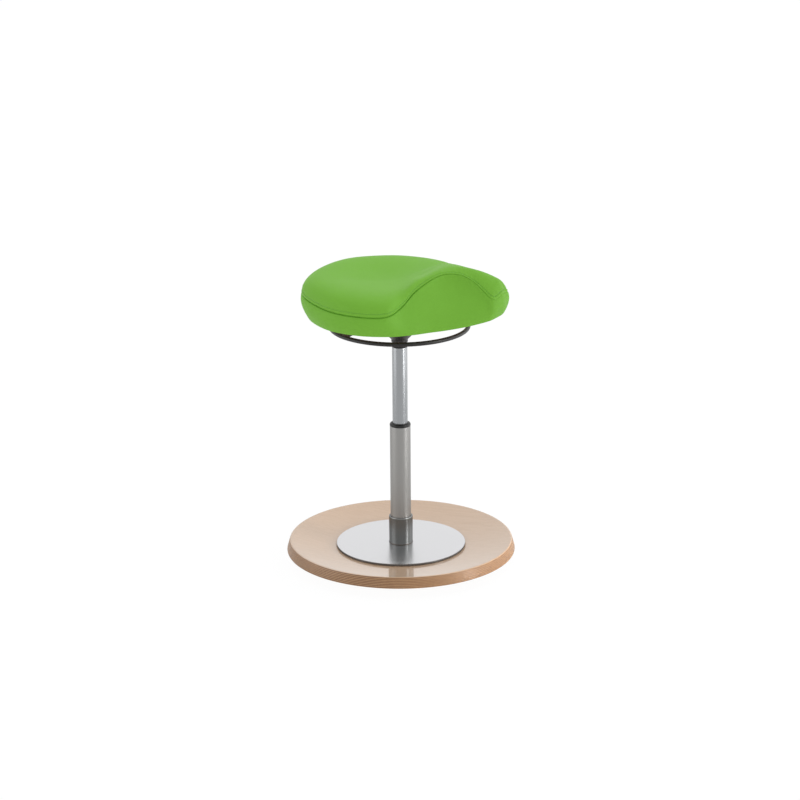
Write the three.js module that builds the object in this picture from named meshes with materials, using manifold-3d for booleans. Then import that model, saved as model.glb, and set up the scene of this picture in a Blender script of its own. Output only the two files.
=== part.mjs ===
// Wobble stool: an upholstered saddle seat on a gas spring column, which stands on a dished plywood
// disc. The disc's underside is a shallow ball face, so the stool rocks when the sitter leans.
// Millimetres, +Z up. The origin is on the floor under the column, and the seat's nose points to -Y.

import * as THREE from 'three';
import { mergeVertices } from 'three/addons/utils/BufferGeometryUtils.js';
import Module from 'manifold-3d';

const wasm = await Module();
wasm.setup();

// Driving dimensions

const seating = 0.3;            // gap left between two pieces that touch
const overrun = 5;              // how far a cutting tool passes the face it cuts
const diameterHalves = 2;       // a diameter holds two radii

const rocker = {
  radius: 212,                  // at the lower edge of the rim
  ballRadius: 1131,             // of the underside that rolls on the floor
  thickness: 20.8,
  rimLean: 1.8,                 // how far the sawn rim leans in past square at its upper edge
  lift: 1,                      // of the wood over the floor, left by the pad
  topArris: 3,
  lowArris: 1.5,
};
const pad = { radius: 55, flatRadius: 30, thickness: 3, proud: 1, recessGap: 0.3 };
const basePlate = { radius: 119.5, thickness: 4, arris: 0.8, rodHole: 10 };
const baseScrew = {
  count: 4,
  circle: 35,                   // radius of the ring of screws
  shank: 4,
  headRadius: 6.5,
  headHeight: 5,
  hexRadius: 2.9,
  hexDepth: 3,
  counterboreDepth: 10,
  counterboreRadius: 9,
  hole: 4.5,
  bossRadius: 8.5,
  engagement: 7,                // of the thread in the boss and the plate
};
const baseWasher = { radius: 8.2, thickness: 1.6 };

const standpipe = { radius: 19, wall: 1.75, height: 227, taperHeight: 44, taperDrop: 0.5, floor: 3, floorLift: 0.6 };
const collar = { topRadius: 22.2, lowRadius: 21.8, height: 52, lip: 1.3, fit: 0.3 };
const bush = { capRadius: 19.3, capHeight: 4.8, capRound: 2.8, sleeve: 70, lipHeight: 1, lipWall: 1.5 };

const rod = { radius: 5, neck: 4, end: 2.2, nut: 9 };
const clip = { radius: 7.6, thickness: 1.5 };
const bearing = { inner: 5.5, outer: 12, washer: 1, ball: 2, ballCount: 8, cageThickness: 1.6 };
const bumper = { radius: 11, waist: 9.6, height: 12 };
const piston = { radius: 11.6, height: 12, groove: 1.2, lift: 2 };

const travel = 130;             // of the gas spring, all of it downwards from where the stool is drawn
const tube = {
  radius: 14,
  bore: 12,
  length: 273.5,
  cone: 49,                     // length of its drawn-in upper end
  coneLow: 12.1,
  coneHigh: 11.4,
  coneBore: 10.2,
  valveBore: 8.6,
  valveDepth: 20,
};
const coneSleeve = { radius: 13.5, height: 6.5, waist: 13, highRadius: 12.5 };
const gland = { height: 13, foot: 1.5 };
const valve = { pin: 3.2, pinPlay: 0.3, pinLength: 18, pinStand: 5.9, dome: 1.4 };

const mountPlate = { half: 72, corner: 16, thickness: 3, rise: 12.7, screwSpread: 55, hole: 3.3 };
const seatSocket = {
  grip: 39.5,                   // length of the gas spring's cone that it holds
  collarRadius: 15.2,
  collarHeight: 5,
  skirtRadius: 31,
  flareRadius: 17,              // the skirt starts almost flat, as if bent at this radius
  flareRise: 1.5,
  skirtRise: 20.5,
  skirtWall: 2.4,
  coreRadius: 17.4,
  throat: 14.2,
  windowWidth: 17,
  windowDepth: 14,
};
const seatScrew = { shank: 2.9, headRadius: 6, headHeight: 3.4, length: 12.4, hexRadius: 2.3, hexDepth: 1.8 };
const teeNut = { flange: 9, flangeThickness: 1.2, barrel: 4.2, barrelLength: 6.5, bore: 3.1 };

const lever = {
  ringRadius: 125,              // to the middle of the wire
  wire: 4,
  ringDrop: 22.2,               // of the ring's middle below the mounting plate
  hubOuter: 38,
  hubInner: 20.5,
  hubThickness: 4,
  bridgeWidth: 12,
  bridgeThickness: 6,
  hubPlay: 0.5,
  spokeWidth: 15,
  spokeThickness: 4,
  spokeTurn: 126,               // degrees from the nose to the first spoke
  footWidth: 46,
  footReach: 26,
  footRise: 2.4,
};

const seat = {
  reach: 202.4,                 // from the column to the seam on the nose
  halfWidth: 175.4,             // to the seam at the widest place
  rise: 97,                     // from the lower edge to the ridge of the saddle
  lowerEdge: 2.5,               // of the cover's hem below the mounting plate's top, upwards
  noseKick: 16.1,                // how far the seat pan bends up under the nose
  kickStart: 70,                // distance from the column at which that bend starts
  kickEnd: 196,
  cover: 1.2,
  panInset: 3,
  panThickness: 8,
  padding: 1.8,                 // room for the nuts' flanges between the pan and the foam
  hem: 18,
  seamPull: 1.8,                // how deep the stitching draws the cover in
  seamGap: 0.25,
  foamGap: 0.5,                 // between the cover and the foam
  foamRelief: 0.7,              // added to that gap at the seam
  foamInset: 5,
};

const facets = { disc: 48, round: 28, small: 12, wire: 54, wireSection: 8, stationSteps: 2, arc: 6 };

// Materials, from the photograph

const finish = (color, roughness, metalness) => new THREE.MeshStandardMaterial({ color, roughness, metalness });
const beechPly = finish(0xd8bfa0, 0.35, 0);
const seatPly = finish(0xc9a983, 0.6, 0);
const satinSteel = finish(0xc9cbcf, 0.32, 1);
const brushedSteel = finish(0x8f8e8c, 0.35, 1);
const darkSteel = finish(0x6e6e70, 0.38, 1);
const silverPaint = finish(0xa9abb0, 0.35, 0.8);
const zincSteel = finish(0xb9bcc0, 0.4, 1);
const blackPlastic = finish(0x232220, 0.45, 0);
const blackPaint = finish(0x2a2927, 0.4, 0);
const blackRubber = finish(0x1c1c1c, 0.85, 0);
const greenCover = finish(0x6cb43a, 0.5, 0);
const foamYellow = finish(0xd9cfa6, 0.95, 0);

// Shaping helpers

/** A profile through [radius, height, fillet] corners, with each filleted corner rounded off. */
function profile(corners, closed = true) {
  const at = (i) => corners[(i + corners.length) % corners.length];
  const points = [];
  corners.forEach(([r, z, fillet = 0], i) => {
    const corner = new THREE.Vector2(r, z);
    const inner = closed || (i > 0 && i < corners.length - 1);
    if (!fillet || !inner) {
      points.push(corner);
      return;
    }
    const before = new THREE.Vector2(...at(i - 1).slice(0, 2));
    const after = new THREE.Vector2(...at(i + 1).slice(0, 2));
    const from = corner.clone().add(before.sub(corner).setLength(fillet));
    const to = corner.clone().add(after.sub(corner).setLength(fillet));
    points.push(...new THREE.QuadraticBezierCurve(from, corner, to).getPoints(3));
  });
  if (closed) points.push(points[0].clone());
  return points;
}

/** A turned piece: the profile runs outwards along the bottom, up the outside and back. */
function turned(points, segments = facets.round) {
  const geometry = new THREE.LatheGeometry(points, segments);
  geometry.rotateX(Math.PI / 2);
  return geometry;
}

/** A plain sleeve or washer between two heights. */
function sleeve(inner, outer, low, high, segments) {
  return turned(profile([[inner, low], [outer, low], [outer, high], [inner, high]]), segments);
}

/** Keeps the position only, joins equal corners and drops the triangles that have shrunk to a line. */
function welded(geometry) {
  const bare = geometry.index ? geometry.toNonIndexed() : geometry.clone();
  for (const name of Object.keys(bare.attributes)) {
    if (name !== 'position') bare.deleteAttribute(name);
  }
  const merged = mergeVertices(bare, 1e-4);
  const kept = [];
  for (let i = 0; i < merged.index.count; i += 3) {
    const [a, b, c] = [merged.index.getX(i), merged.index.getX(i + 1), merged.index.getX(i + 2)];
    if (a !== b && b !== c && c !== a) kept.push(a, b, c);
  }
  merged.setIndex(kept);
  return merged;
}

function solid(geometry) {
  const merged = welded(geometry);
  return new wasm.Manifold(new wasm.Mesh({
    numProp: 3,
    vertProperties: new Float32Array(merged.attributes.position.array),
    triVerts: new Uint32Array(merged.index.array),
  }));
}

function geometryOf(manifold) {
  const mesh = manifold.getMesh();
  const geometry = new THREE.BufferGeometry();
  geometry.setAttribute('position', new THREE.BufferAttribute(new Float32Array(mesh.vertProperties), 3));
  geometry.setIndex(new THREE.BufferAttribute(new Uint32Array(mesh.triVerts), 1));
  return geometry;
}

function cut(geometry, ...tools) {
  return geometryOf(tools.reduce((body, tool) => body.subtract(solid(tool)), solid(geometry)));
}

function joined(geometry, ...others) {
  return geometryOf(others.reduce((body, other) => body.add(solid(other)), solid(geometry)));
}

/** An upright round tool or pin between two heights, at a place. */
function pin(radius, low, high, x = 0, y = 0, segments = facets.small) {
  const geometry = new THREE.CylinderGeometry(radius, radius, high - low, segments);
  geometry.rotateX(Math.PI / 2);
  geometry.translate(x, y, (low + high) / 2);
  return geometry;
}

/** An upright block round a middle, between two heights, turned about the column. */
function block(length, width, low, high, turn = 0, along = 0) {
  const geometry = new THREE.BoxGeometry(length, width, high - low);
  geometry.translate(along, 0, (low + high) / 2);
  geometry.rotateZ(turn);
  return geometry;
}

/** Places on a ring round the column, as [x, y, angle]. */
function ringPlaces(count, radius, start = 0) {
  return Array.from({ length: count }, (_, i) => {
    const angle = start + i * 2 * Math.PI / count;
    return [radius * Math.cos(angle), radius * Math.sin(angle), angle];
  });
}

const stool = new THREE.Group();

function add(name, geometry, material) {
  const mesh = new THREE.Mesh(welded(geometry), material);
  mesh.geometry.computeVertexNormals();
  mesh.name = name;
  stool.add(mesh);
  return mesh;
}

// Rocker disc: form-pressed beech plywood, a shallow bowl of even thickness whose edge leans in upwards

const ballCentre = rocker.lift + rocker.ballRadius;
const hollowRadius = rocker.ballRadius - rocker.thickness;
const underside = (r) => ballCentre - Math.sqrt(rocker.ballRadius ** 2 - r ** 2);
const hollow = (r) => ballCentre - Math.sqrt(hollowRadius ** 2 - r ** 2);
const rimTopRadius = rocker.radius * hollowRadius / rocker.ballRadius - rocker.rimLean;
const padTop = underside(0) - pad.proud + pad.thickness;

function arc(height, from, to) {
  return Array.from({ length: facets.arc }, (_, i) => {
    const r = from + (to - from) * i / (facets.arc - 1);
    return [r, height(r)];
  });
}

const screwPlaces = ringPlaces(baseScrew.count, baseScrew.circle, Math.PI / baseScrew.count);
const boreTop = underside(baseScrew.circle) + baseScrew.counterboreDepth;

function rockerDisc() {
  const recess = pad.radius + pad.recessGap;
  const low = arc(underside, recess, rocker.radius);
  const high = arc(hollow, rimTopRadius, 0);
  low[low.length - 1].push(rocker.lowArris);
  high[0].push(rocker.topArris);
  const body = turned(profile([[0, padTop], [recess, padTop], ...low, ...high], false), facets.disc);
  const holes = screwPlaces.flatMap(([x, y]) => [
    pin(baseScrew.hole, padTop - overrun, hollow(rocker.radius), x, y),
    pin(baseScrew.counterboreRadius, padTop - overrun, boreTop, x, y),
  ]);
  return cut(body, ...holes);
}
add('rocker_disc', rockerDisc(), beechPly);

// Floor pad: a rubber disc let into the middle of the underside, flat where the stool stands upright

function floorPad() {
  const flatDrop = underside(pad.flatRadius) - underside(0);
  const face = (r) => underside(r) - underside(0) - flatDrop;
  const edge = arc(face, pad.flatRadius, pad.radius);
  const top = padTop - seating;
  return turned(profile([[0, 0], ...edge, [pad.radius, top], [0, top]], false), facets.round);
}
add('floor_pad', floorPad(), blackRubber);

// Base plate: a flat steel disc that bears on the bowl with its edge, with a threaded boss for each screw

const plateLow = hollow(basePlate.radius) + seating;
const plateTop = plateLow + basePlate.thickness;
const bossLow = hollow(baseScrew.circle + baseScrew.bossRadius) + seating;
const screwTop = Math.min(bossLow + baseScrew.engagement, plateTop - seating);

function basePlateGeometry() {
  const disc = turned(profile([
    [basePlate.rodHole, plateLow], [basePlate.radius, plateLow],
    [basePlate.radius, plateTop, basePlate.arris], [basePlate.rodHole, plateTop],
  ]), facets.disc);
  const bosses = screwPlaces.map(([x, y]) => pin(baseScrew.bossRadius, bossLow, plateLow + seating, x, y));
  const threads = screwPlaces.map(([x, y]) => pin(baseScrew.shank + seating, bossLow - overrun, screwTop + seating / 2, x, y));
  return cut(joined(disc, ...bosses), ...threads);
}
add('base_plate', basePlateGeometry(), satinSteel);

// Screws and washers that clamp the disc to the plate from below

const washerLow = boreTop - seating - baseWasher.thickness;
const headTop = washerLow - seating;

function socketScrew({ shank, headRadius, headHeight, hexRadius, hexDepth }, headFace, tip, upwards) {
  const side = Math.sign(tip - headFace);
  const back = headFace - side * headHeight;
  const head = pin(headRadius, Math.min(back, headFace), Math.max(back, headFace));
  const stem = pin(shank, Math.min(tip, back + side * headHeight / 2), Math.max(tip, back + side * headHeight / 2));
  const key = pin(hexRadius, Math.min(back + side * hexDepth, back - side * overrun),
    Math.max(back + side * hexDepth, back - side * overrun), 0, 0, 6);
  return cut(joined(head, stem), key);
}

screwPlaces.forEach(([x, y], i) => {
  const washer = sleeve(baseScrew.shank + seating, baseWasher.radius, washerLow, washerLow + baseWasher.thickness, facets.small);
  add(`base_washer_${i + 1}`, washer.translate(x, y, 0), zincSteel);
  add(`base_screw_${i + 1}`, socketScrew(baseScrew, headTop, screwTop).translate(x, y, 0), zincSteel);
});

// Column collar: a turned steel socket welded to the plate, with a bevelled lip

const pipeLow = plateTop + seating;
const pipeTop = plateTop + standpipe.height;
const pipeBore = standpipe.radius - standpipe.wall;
const taperTop = pipeLow + standpipe.taperHeight;

function collarGeometry() {
  const low = plateTop;
  const high = plateTop + collar.height;
  const bore = standpipe.radius + collar.fit;
  return turned(profile([
    [bore - standpipe.taperDrop, low], [collar.lowRadius, low],
    [collar.topRadius, high, collar.lip], [bore, high], [bore, taperTop],
  ]));
}
add('column_collar', collarGeometry(), darkSteel);

// Standpipe: steel tube, drawn in a little where it seats in the collar, and its welded floor

const pipeFloorLow = pipeLow + standpipe.floorLift;
const pipeFloorTop = pipeFloorLow + standpipe.floor;
const drop = standpipe.taperDrop;
add('standpipe', turned(profile([
  [pipeBore - drop, pipeLow], [standpipe.radius - drop, pipeLow], [standpipe.radius, taperTop],
  [standpipe.radius, pipeTop], [pipeBore, pipeTop], [pipeBore, taperTop],
])), brushedSteel);
add('standpipe_floor', sleeve(bearing.inner, pipeBore - drop - seating, pipeFloorLow, pipeFloorTop), zincSteel);

// Guide bush: a moulded sleeve pressed into the top of the standpipe, with a rounded cap that shows

function guideBush() {
  const bore = tube.radius + seating;
  const outer = pipeBore - seating;
  const capLow = pipeTop + seating;
  const capTop = capLow + bush.capHeight;
  const lipTop = capTop + bush.lipHeight;
  return turned(profile([
    [bore, capLow - bush.sleeve], [outer, capLow - bush.sleeve], [outer, capLow],
    [bush.capRadius, capLow], [bush.capRadius, capTop, bush.capRound],
    [bore + bush.lipWall, capTop], [bore + bush.lipWall, lipTop], [bore, lipTop],
  ]));
}
add('guide_bush', guideBush(), blackPlastic);

// Thrust bearing on the pipe's floor: two washers, and a cage whose balls run between them

const lowWasher = pipeFloorTop + seating;
const ballLow = lowWasher + bearing.washer + seating;
const ballTop = ballLow + diameterHalves * bearing.ball;
const highWasher = ballTop + seating;
const bumperLow = highWasher + bearing.washer + seating;
const bumperTop = bumperLow + bumper.height;
add('bearing_washer_low', sleeve(bearing.inner, bearing.outer, lowWasher, lowWasher + bearing.washer), zincSteel);

function ballCage() {
  const middle = (ballLow + ballTop) / 2;
  const half = bearing.cageThickness / 2;
  const ring = sleeve(bearing.inner, bearing.outer, middle - half, middle + half, facets.round);
  const balls = ringPlaces(bearing.ballCount, (bearing.inner + bearing.outer) / 2).map(([x, y]) => {
    const ball = new THREE.SphereGeometry(bearing.ball, 8, 4);
    ball.rotateX(Math.PI / 2);
    return ball.translate(x, y, middle);
  });
  return joined(ring, ...balls);
}
add('ball_cage', ballCage(), zincSteel);
add('bearing_washer_high', sleeve(bearing.inner, bearing.outer, highWasher, highWasher + bearing.washer), zincSteel);

// Rubber bumper that the gas spring's tube lands on when the seat is right down

const bumperMiddle = (bumperLow + bumperTop) / 2;
add('bump_stop', turned(profile([
  [bearing.inner, bumperLow], [bumper.radius, bumperLow], [bumper.waist, bumperMiddle],
  [bumper.radius, bumperTop], [bearing.inner, bumperTop],
]), facets.round), blackRubber);

// Piston rod, held in the pipe's floor by a clip, with the piston on its upper end

const tubeLow = bumperTop + seating + travel;
const tubeTop = tubeLow + tube.length;
const coneStart = tubeTop - tube.cone;
const glandTop = tubeLow + gland.foot + gland.height;
const pistonLow = glandTop + piston.lift;
const clipLow = pipeFloorLow - seating - clip.thickness;
const rodTop = pistonLow + rod.nut;
add('piston_rod', turned(profile([
  [0, clipLow - rod.end], [rod.radius, clipLow - rod.end, seating], [rod.radius, clipLow - seating],
  [rod.neck, clipLow - seating], [rod.neck, clipLow + clip.thickness + seating],
  [rod.radius, clipLow + clip.thickness + seating], [rod.radius, rodTop], [0, rodTop],
], false), facets.small), satinSteel);
add('rod_clip', sleeve(rod.neck + seating, clip.radius, clipLow, clipLow + clip.thickness, facets.small), zincSteel);

const pistonMiddle = pistonLow + piston.height / 2;
const grooveBed = piston.radius - piston.groove;
const pistonTop = pistonLow + piston.height;
add('piston', turned(profile([
  [rod.radius + seating, pistonLow], [piston.radius, pistonLow], [piston.radius, pistonMiddle - piston.groove],
  [grooveBed, pistonMiddle - piston.groove], [grooveBed, pistonMiddle + piston.groove],
  [piston.radius, pistonMiddle + piston.groove], [piston.radius, pistonTop], [0, pistonTop],
  [0, rodTop + seating], [rod.radius + seating, rodTop + seating],
], false).concat(new THREE.Vector2(rod.radius + seating, pistonLow)), facets.round), zincSteel);

// Gas spring: the tube that slides in the bush, with the gland at its foot and the valve in its cone

const gasTop = tubeTop - tube.valveDepth;
add('gas_spring_tube', turned(profile([
  [tube.bore, tubeLow], [tube.radius, tubeLow], [tube.radius, coneStart - seating],
  [tube.coneLow, coneStart], [tube.coneHigh, tubeTop, seating], [tube.valveBore, tubeTop],
  [tube.valveBore, gasTop], [tube.coneBore, gasTop], [tube.coneBore, coneStart],
  [tube.bore, coneStart - overrun],
])), silverPaint);

// Cone sleeve: a black bush on the spring's drawn-in end, which the seat socket grips

const socketLow = tubeTop - seatSocket.grip;
const sleeveLow = coneStart + seating;
const sleeveStep = sleeveLow + coneSleeve.height;
add('cone_sleeve', turned(profile([
  [tube.coneLow + seating, sleeveLow], [coneSleeve.radius, sleeveLow, seating], [coneSleeve.radius, sleeveStep],
  [coneSleeve.waist, sleeveStep + seating], [coneSleeve.waist, socketLow], [coneSleeve.highRadius, tubeTop],
  [tube.coneHigh + seating, tubeTop],
])), blackPlastic);
add('rod_gland', sleeve(rod.radius + seating, tube.bore - seating, tubeLow + gland.foot, glandTop), blackPlastic);

const pinTop = tubeTop + valve.pinStand;
const pinLow = pinTop - valve.pinLength;
const pinBore = valve.pin + valve.pinPlay;
const valveRoom = pinLow - valve.pinStand;
add('valve_body', turned(profile([
  [0, gasTop + seating], [tube.valveBore - seating, gasTop + seating], [tube.valveBore - seating, tubeTop - seating],
  [pinBore, tubeTop - seating], [pinBore, valveRoom], [0, valveRoom],
], false), facets.round), zincSteel);
add('valve_pin', turned(profile([
  [0, pinLow], [valve.pin, pinLow], [valve.pin, pinTop - valve.dome, valve.dome], [0, pinTop],
], false), facets.small), satinSteel);

// Seat socket: a black casting whose cone sits on the gas spring, with a flared skirt and two windows
// in its upper part for the lever's bridge

const mountLow = tubeTop + mountPlate.rise;
const mountTop = mountLow + mountPlate.thickness;
const spokeAngle = -Math.PI / 2 - THREE.MathUtils.degToRad(lever.spokeTurn);

function seatSocketGeometry() {
  const low = socketLow;
  const high = mountLow - seating;
  const collarTop = low + seatSocket.collarHeight;
  const skirtTop = low + seatSocket.skirtRise;
  const gripLow = coneSleeve.waist + seating;
  const gripHigh = coneSleeve.highRadius + seating;
  const flare = new THREE.QuadraticBezierCurve(
    new THREE.Vector2(seatSocket.collarRadius, collarTop),
    new THREE.Vector2(seatSocket.flareRadius, collarTop + seatSocket.flareRise),
    new THREE.Vector2(seatSocket.skirtRadius, skirtTop),
  ).getPoints(facets.arc - 1);
  const lining = flare.slice().reverse().map((p) => new THREE.Vector2(p.x - seatSocket.skirtWall, p.y + seatSocket.skirtWall / 2))
    .filter((p) => p.x > seatSocket.coreRadius);
  const outline = [
    new THREE.Vector2(gripLow, low),
    new THREE.Vector2(seatSocket.collarRadius, low),
    ...flare,
    ...lining,
    new THREE.Vector2(seatSocket.coreRadius, lining.at(-1).y),
    new THREE.Vector2(seatSocket.coreRadius, high),
    new THREE.Vector2(seatSocket.throat, high),
    new THREE.Vector2(seatSocket.throat, tubeTop),
    new THREE.Vector2(gripHigh, tubeTop),
    new THREE.Vector2(gripLow, low),
  ];
  const reach = diameterHalves * (seatSocket.coreRadius + overrun);
  return cut(turned(outline), block(reach, seatSocket.windowWidth, high - seatSocket.windowDepth, high + overrun, spokeAngle));
}
add('seat_socket', seatSocketGeometry(), blackPaint);

// Mounting plate, screwed to the seat pan from below

function roundedSquare(half, corner) {
  const shape = new THREE.Shape();
  const flat = half - corner;
  shape.absarc(flat, flat, corner, 0, Math.PI / 2, false);
  shape.absarc(-flat, flat, corner, Math.PI / 2, Math.PI, false);
  shape.absarc(-flat, -flat, corner, Math.PI, 3 * Math.PI / 2, false);
  shape.absarc(flat, -flat, corner, 3 * Math.PI / 2, 2 * Math.PI, false);
  return shape;
}

const spread = mountPlate.screwSpread;
const seatScrewPlaces = [[spread, spread], [-spread, spread], [-spread, -spread], [spread, -spread]];

function mountPlateGeometry() {
  const shape = roundedSquare(mountPlate.half, mountPlate.corner);
  for (const [x, y] of seatScrewPlaces) {
    const hole = new THREE.Path();
    hole.absarc(x, y, mountPlate.hole, 0, 2 * Math.PI, true);
    shape.holes.push(hole);
  }
  const plate = new THREE.ExtrudeGeometry(shape, { depth: mountPlate.thickness, bevelEnabled: false, curveSegments: 5 });
  return plate.translate(0, 0, mountLow);
}
add('mount_plate', mountPlateGeometry(), blackPaint);

// Ring lever: a steel wire ring on a moulded spider. The spider's bridge crosses the socket's windows
// over the valve pin, so that lifting the ring anywhere tips the hub and presses the pin

const hubTop = mountLow - lever.hubPlay;
const hubLow = hubTop - lever.hubThickness;
const ringHeight = mountLow - lever.ringDrop;

function wireRing(section) {
  const ring = new THREE.TorusGeometry(lever.ringRadius, section, facets.wireSection, facets.wire);
  return ring.translate(0, 0, ringHeight);
}
add('lever_ring', wireRing(lever.wire), blackPaint);

function spoke(turn) {
  const start = lever.hubOuter - lever.spokeThickness;
  const knee = lever.ringRadius - lever.footReach;
  const footTop = ringHeight + lever.footRise + lever.spokeThickness / 2;
  const hubMiddle = hubTop - lever.hubThickness / 2;
  const side = new THREE.Shape([
    new THREE.Vector2(start, hubMiddle - lever.spokeThickness / 2),
    new THREE.Vector2(knee, footTop - lever.spokeThickness),
    new THREE.Vector2(lever.ringRadius, footTop - lever.spokeThickness),
    new THREE.Vector2(lever.ringRadius, footTop),
    new THREE.Vector2(knee, footTop),
    new THREE.Vector2(start, hubMiddle + lever.spokeThickness / 2),
  ]);
  const bar = new THREE.ExtrudeGeometry(side, { depth: lever.spokeWidth, bevelEnabled: false });
  bar.translate(0, 0, -lever.spokeWidth / 2);
  bar.rotateX(Math.PI / 2);
  const foot = new THREE.Shape();
  const halfBar = lever.spokeWidth / 2;
  const halfFoot = lever.footWidth / 2;
  foot.moveTo(knee, -halfBar);
  foot.quadraticCurveTo(lever.ringRadius - lever.wire, -halfBar, lever.ringRadius - lever.wire / 2, -halfFoot);
  foot.lineTo(lever.ringRadius, 0);
  foot.lineTo(lever.ringRadius - lever.wire / 2, halfFoot);
  foot.quadraticCurveTo(lever.ringRadius - lever.wire, halfBar, knee, halfBar);
  const web = new THREE.ExtrudeGeometry(foot, { depth: lever.spokeThickness, bevelEnabled: false, curveSegments: 5 });
  web.translate(0, 0, footTop - lever.spokeThickness);
  return [bar.rotateZ(turn), web.rotateZ(turn)];
}

function leverSpider() {
  const hub = sleeve(lever.hubInner, lever.hubOuter, hubLow, hubTop);
  const bridgeReach = lever.hubInner + lever.hubOuter;
  const bridge = block(bridgeReach, lever.bridgeWidth, hubTop - lever.bridgeThickness, hubTop, spokeAngle);
  const body = joined(hub, bridge, ...spoke(spokeAngle), ...spoke(spokeAngle + Math.PI));
  return cut(body, wireRing(lever.wire + seating));
}
add('lever_spider', leverSpider(), blackPlastic);

// Saddle form. Ribs run from the spine of the seat out to the sewn seam, and on down to the lower edge.
// Stations go from the back round one side to the nose; the other side is their mirror.
// Each row: spine place, seam place, seam offset, seam height, shoulder in, shoulder up,
// bulge under the seam, bulge over the edge, edge place, edge offset.
// Places are shares of the reach, offsets of the half width, and all the rest of the rise.

const stationShares = [
  [0.000, -0.850, 0.000, 0.453, 0.059, 0.613, 0.055, 0.093, -0.816, 0.000],
  [0.000, -0.744, 0.530, 0.452, 0.041, 0.593, 0.057, 0.087, -0.706, 0.485],
  [0.000, -0.399, 0.888, 0.404, 0.032, 0.595, 0.052, 0.092, -0.404, 0.835],
  [0.000, -0.078, 1.000, 0.389, 0.032, 0.521, 0.038, 0.088, -0.085, 0.937],
  [0.011, 0.191, 0.929, 0.393, 0.048, 0.458, 0.036, 0.093, 0.183, 0.876],
  [0.061, 0.266, 0.727, 0.482, 0.118, 0.356, 0.086, 0.076, 0.347, 0.749],
  [0.151, 0.324, 0.523, 0.691, 0.143, 0.261, 0.146, 0.083, 0.487, 0.599],
  [0.270, 0.399, 0.352, 0.838, 0.140, 0.138, 0.126, 0.083, 0.578, 0.527],
  [0.397, 0.470, 0.226, 0.918, 0.131, 0.052, 0.105, 0.083, 0.664, 0.461],
  [0.516, 0.560, 0.159, 0.936, 0.121, 0.026, 0.085, 0.084, 0.741, 0.403],
  [0.615, 0.664, 0.144, 0.906, 0.114, 0.008, 0.076, 0.084, 0.807, 0.348],
  [0.704, 0.767, 0.161, 0.817, 0.119, 0.013, 0.067, 0.085, 0.863, 0.297],
  [0.786, 0.861, 0.190, 0.675, 0.092, 0.095, 0.060, 0.087, 0.913, 0.246],
  [0.851, 0.957, 0.196, 0.532, 0.074, 0.154, 0.063, 0.089, 0.943, 0.194],
  [0.884, 0.998, 0.081, 0.587, 0.079, 0.206, 0.062, 0.092, 0.967, 0.074],
  [0.898, 1.000, 0.000, 0.587, 0.067, 0.216, 0.059, 0.091, 0.974, 0.000],
];
// Height of the spine over the lower edge: places are shares of the reach, heights of the rise.
const spineShares = [
  [-0.346, 0.649], [0, 0.664], [0.222, 0.79], [0.42, 0.973],
  [0.568, 1.001], [0.741, 0.961], [0.889, 0.868], [0.988, 0.801],
];

/** Smooth pass through a list of equal-length rows, at a row number that need not be whole. */
function passThrough(rows, u, mirror) {
  const last = rows.length - 1;
  const row = (i) => {
    if (i < 0) return rows[-i].map((value, c) => value * mirror[c]);
    if (i > last) return rows[2 * last - i].map((value, c) => value * mirror[c]);
    return rows[i];
  };
  const i = Math.min(Math.floor(u), last - 1);
  const t = u - i;
  return rows[i].map((_, c) => {
    const [a, b, d, e] = [row(i - 1)[c], rows[i][c], rows[i + 1][c], row(i + 2)[c]];
    const [slopeB, slopeD] = [(d - a) / 2, (e - b) / 2];
    return (2 * b - 2 * d + slopeB + slopeD) * t ** 3 + (-3 * b + 3 * d - 2 * slopeB - slopeD) * t ** 2 + slopeB * t + b;
  });
}

const stationMirror = [1, 1, -1, 1, 1, 1, 1, 1, 1, -1];
const lowerEdge = mountTop - seat.lowerEdge + seating;

/** How far the pan is bent up at a place: the share of the way into the bend, squared. */
function kick(place) {
  const share = Math.max(0, (place - seat.kickStart) / (seat.kickEnd - seat.kickStart));
  return seat.noseKick * share * share;
}

/** Height of the spine and its slope at a place along the seat, by a monotone cubic between the shares. */
function spineAt(place) {
  const xs = spineShares.map(([x]) => x * seat.reach);
  const ys = spineShares.map(([, y]) => y * seat.rise);
  const steps = xs.slice(1).map((x, i) => (ys[i + 1] - ys[i]) / (x - xs[i]));
  const slopes = xs.map((_, i) => {
    if (i === 0) return steps[0];
    if (i === xs.length - 1) return steps.at(-1);
    return (steps[i - 1] + steps[i]) / 2;
  });
  const i = Math.max(0, Math.min(xs.findIndex((x) => x > place) - 1, xs.length - 2));
  const span = xs[i + 1] - xs[i];
  const t = (place - xs[i]) / span;
  const [a, b, m, n] = [ys[i], ys[i + 1], slopes[i] * span, slopes[i + 1] * span];
  const height = a + m * t + (3 * (b - a) - 2 * m - n) * t ** 2 + (2 * (a - b) + m + n) * t ** 3;
  const slope = (m + 2 * (3 * (b - a) - 2 * m - n) * t + 3 * (2 * (a - b) + m + n) * t ** 2) / span;
  return [lowerEdge + height, slope];
}

const crownHold = 0.45;         // share of a rib that leaves the spine level
const bandHold = 0.33;          // share of the side's height held by each bulge

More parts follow.
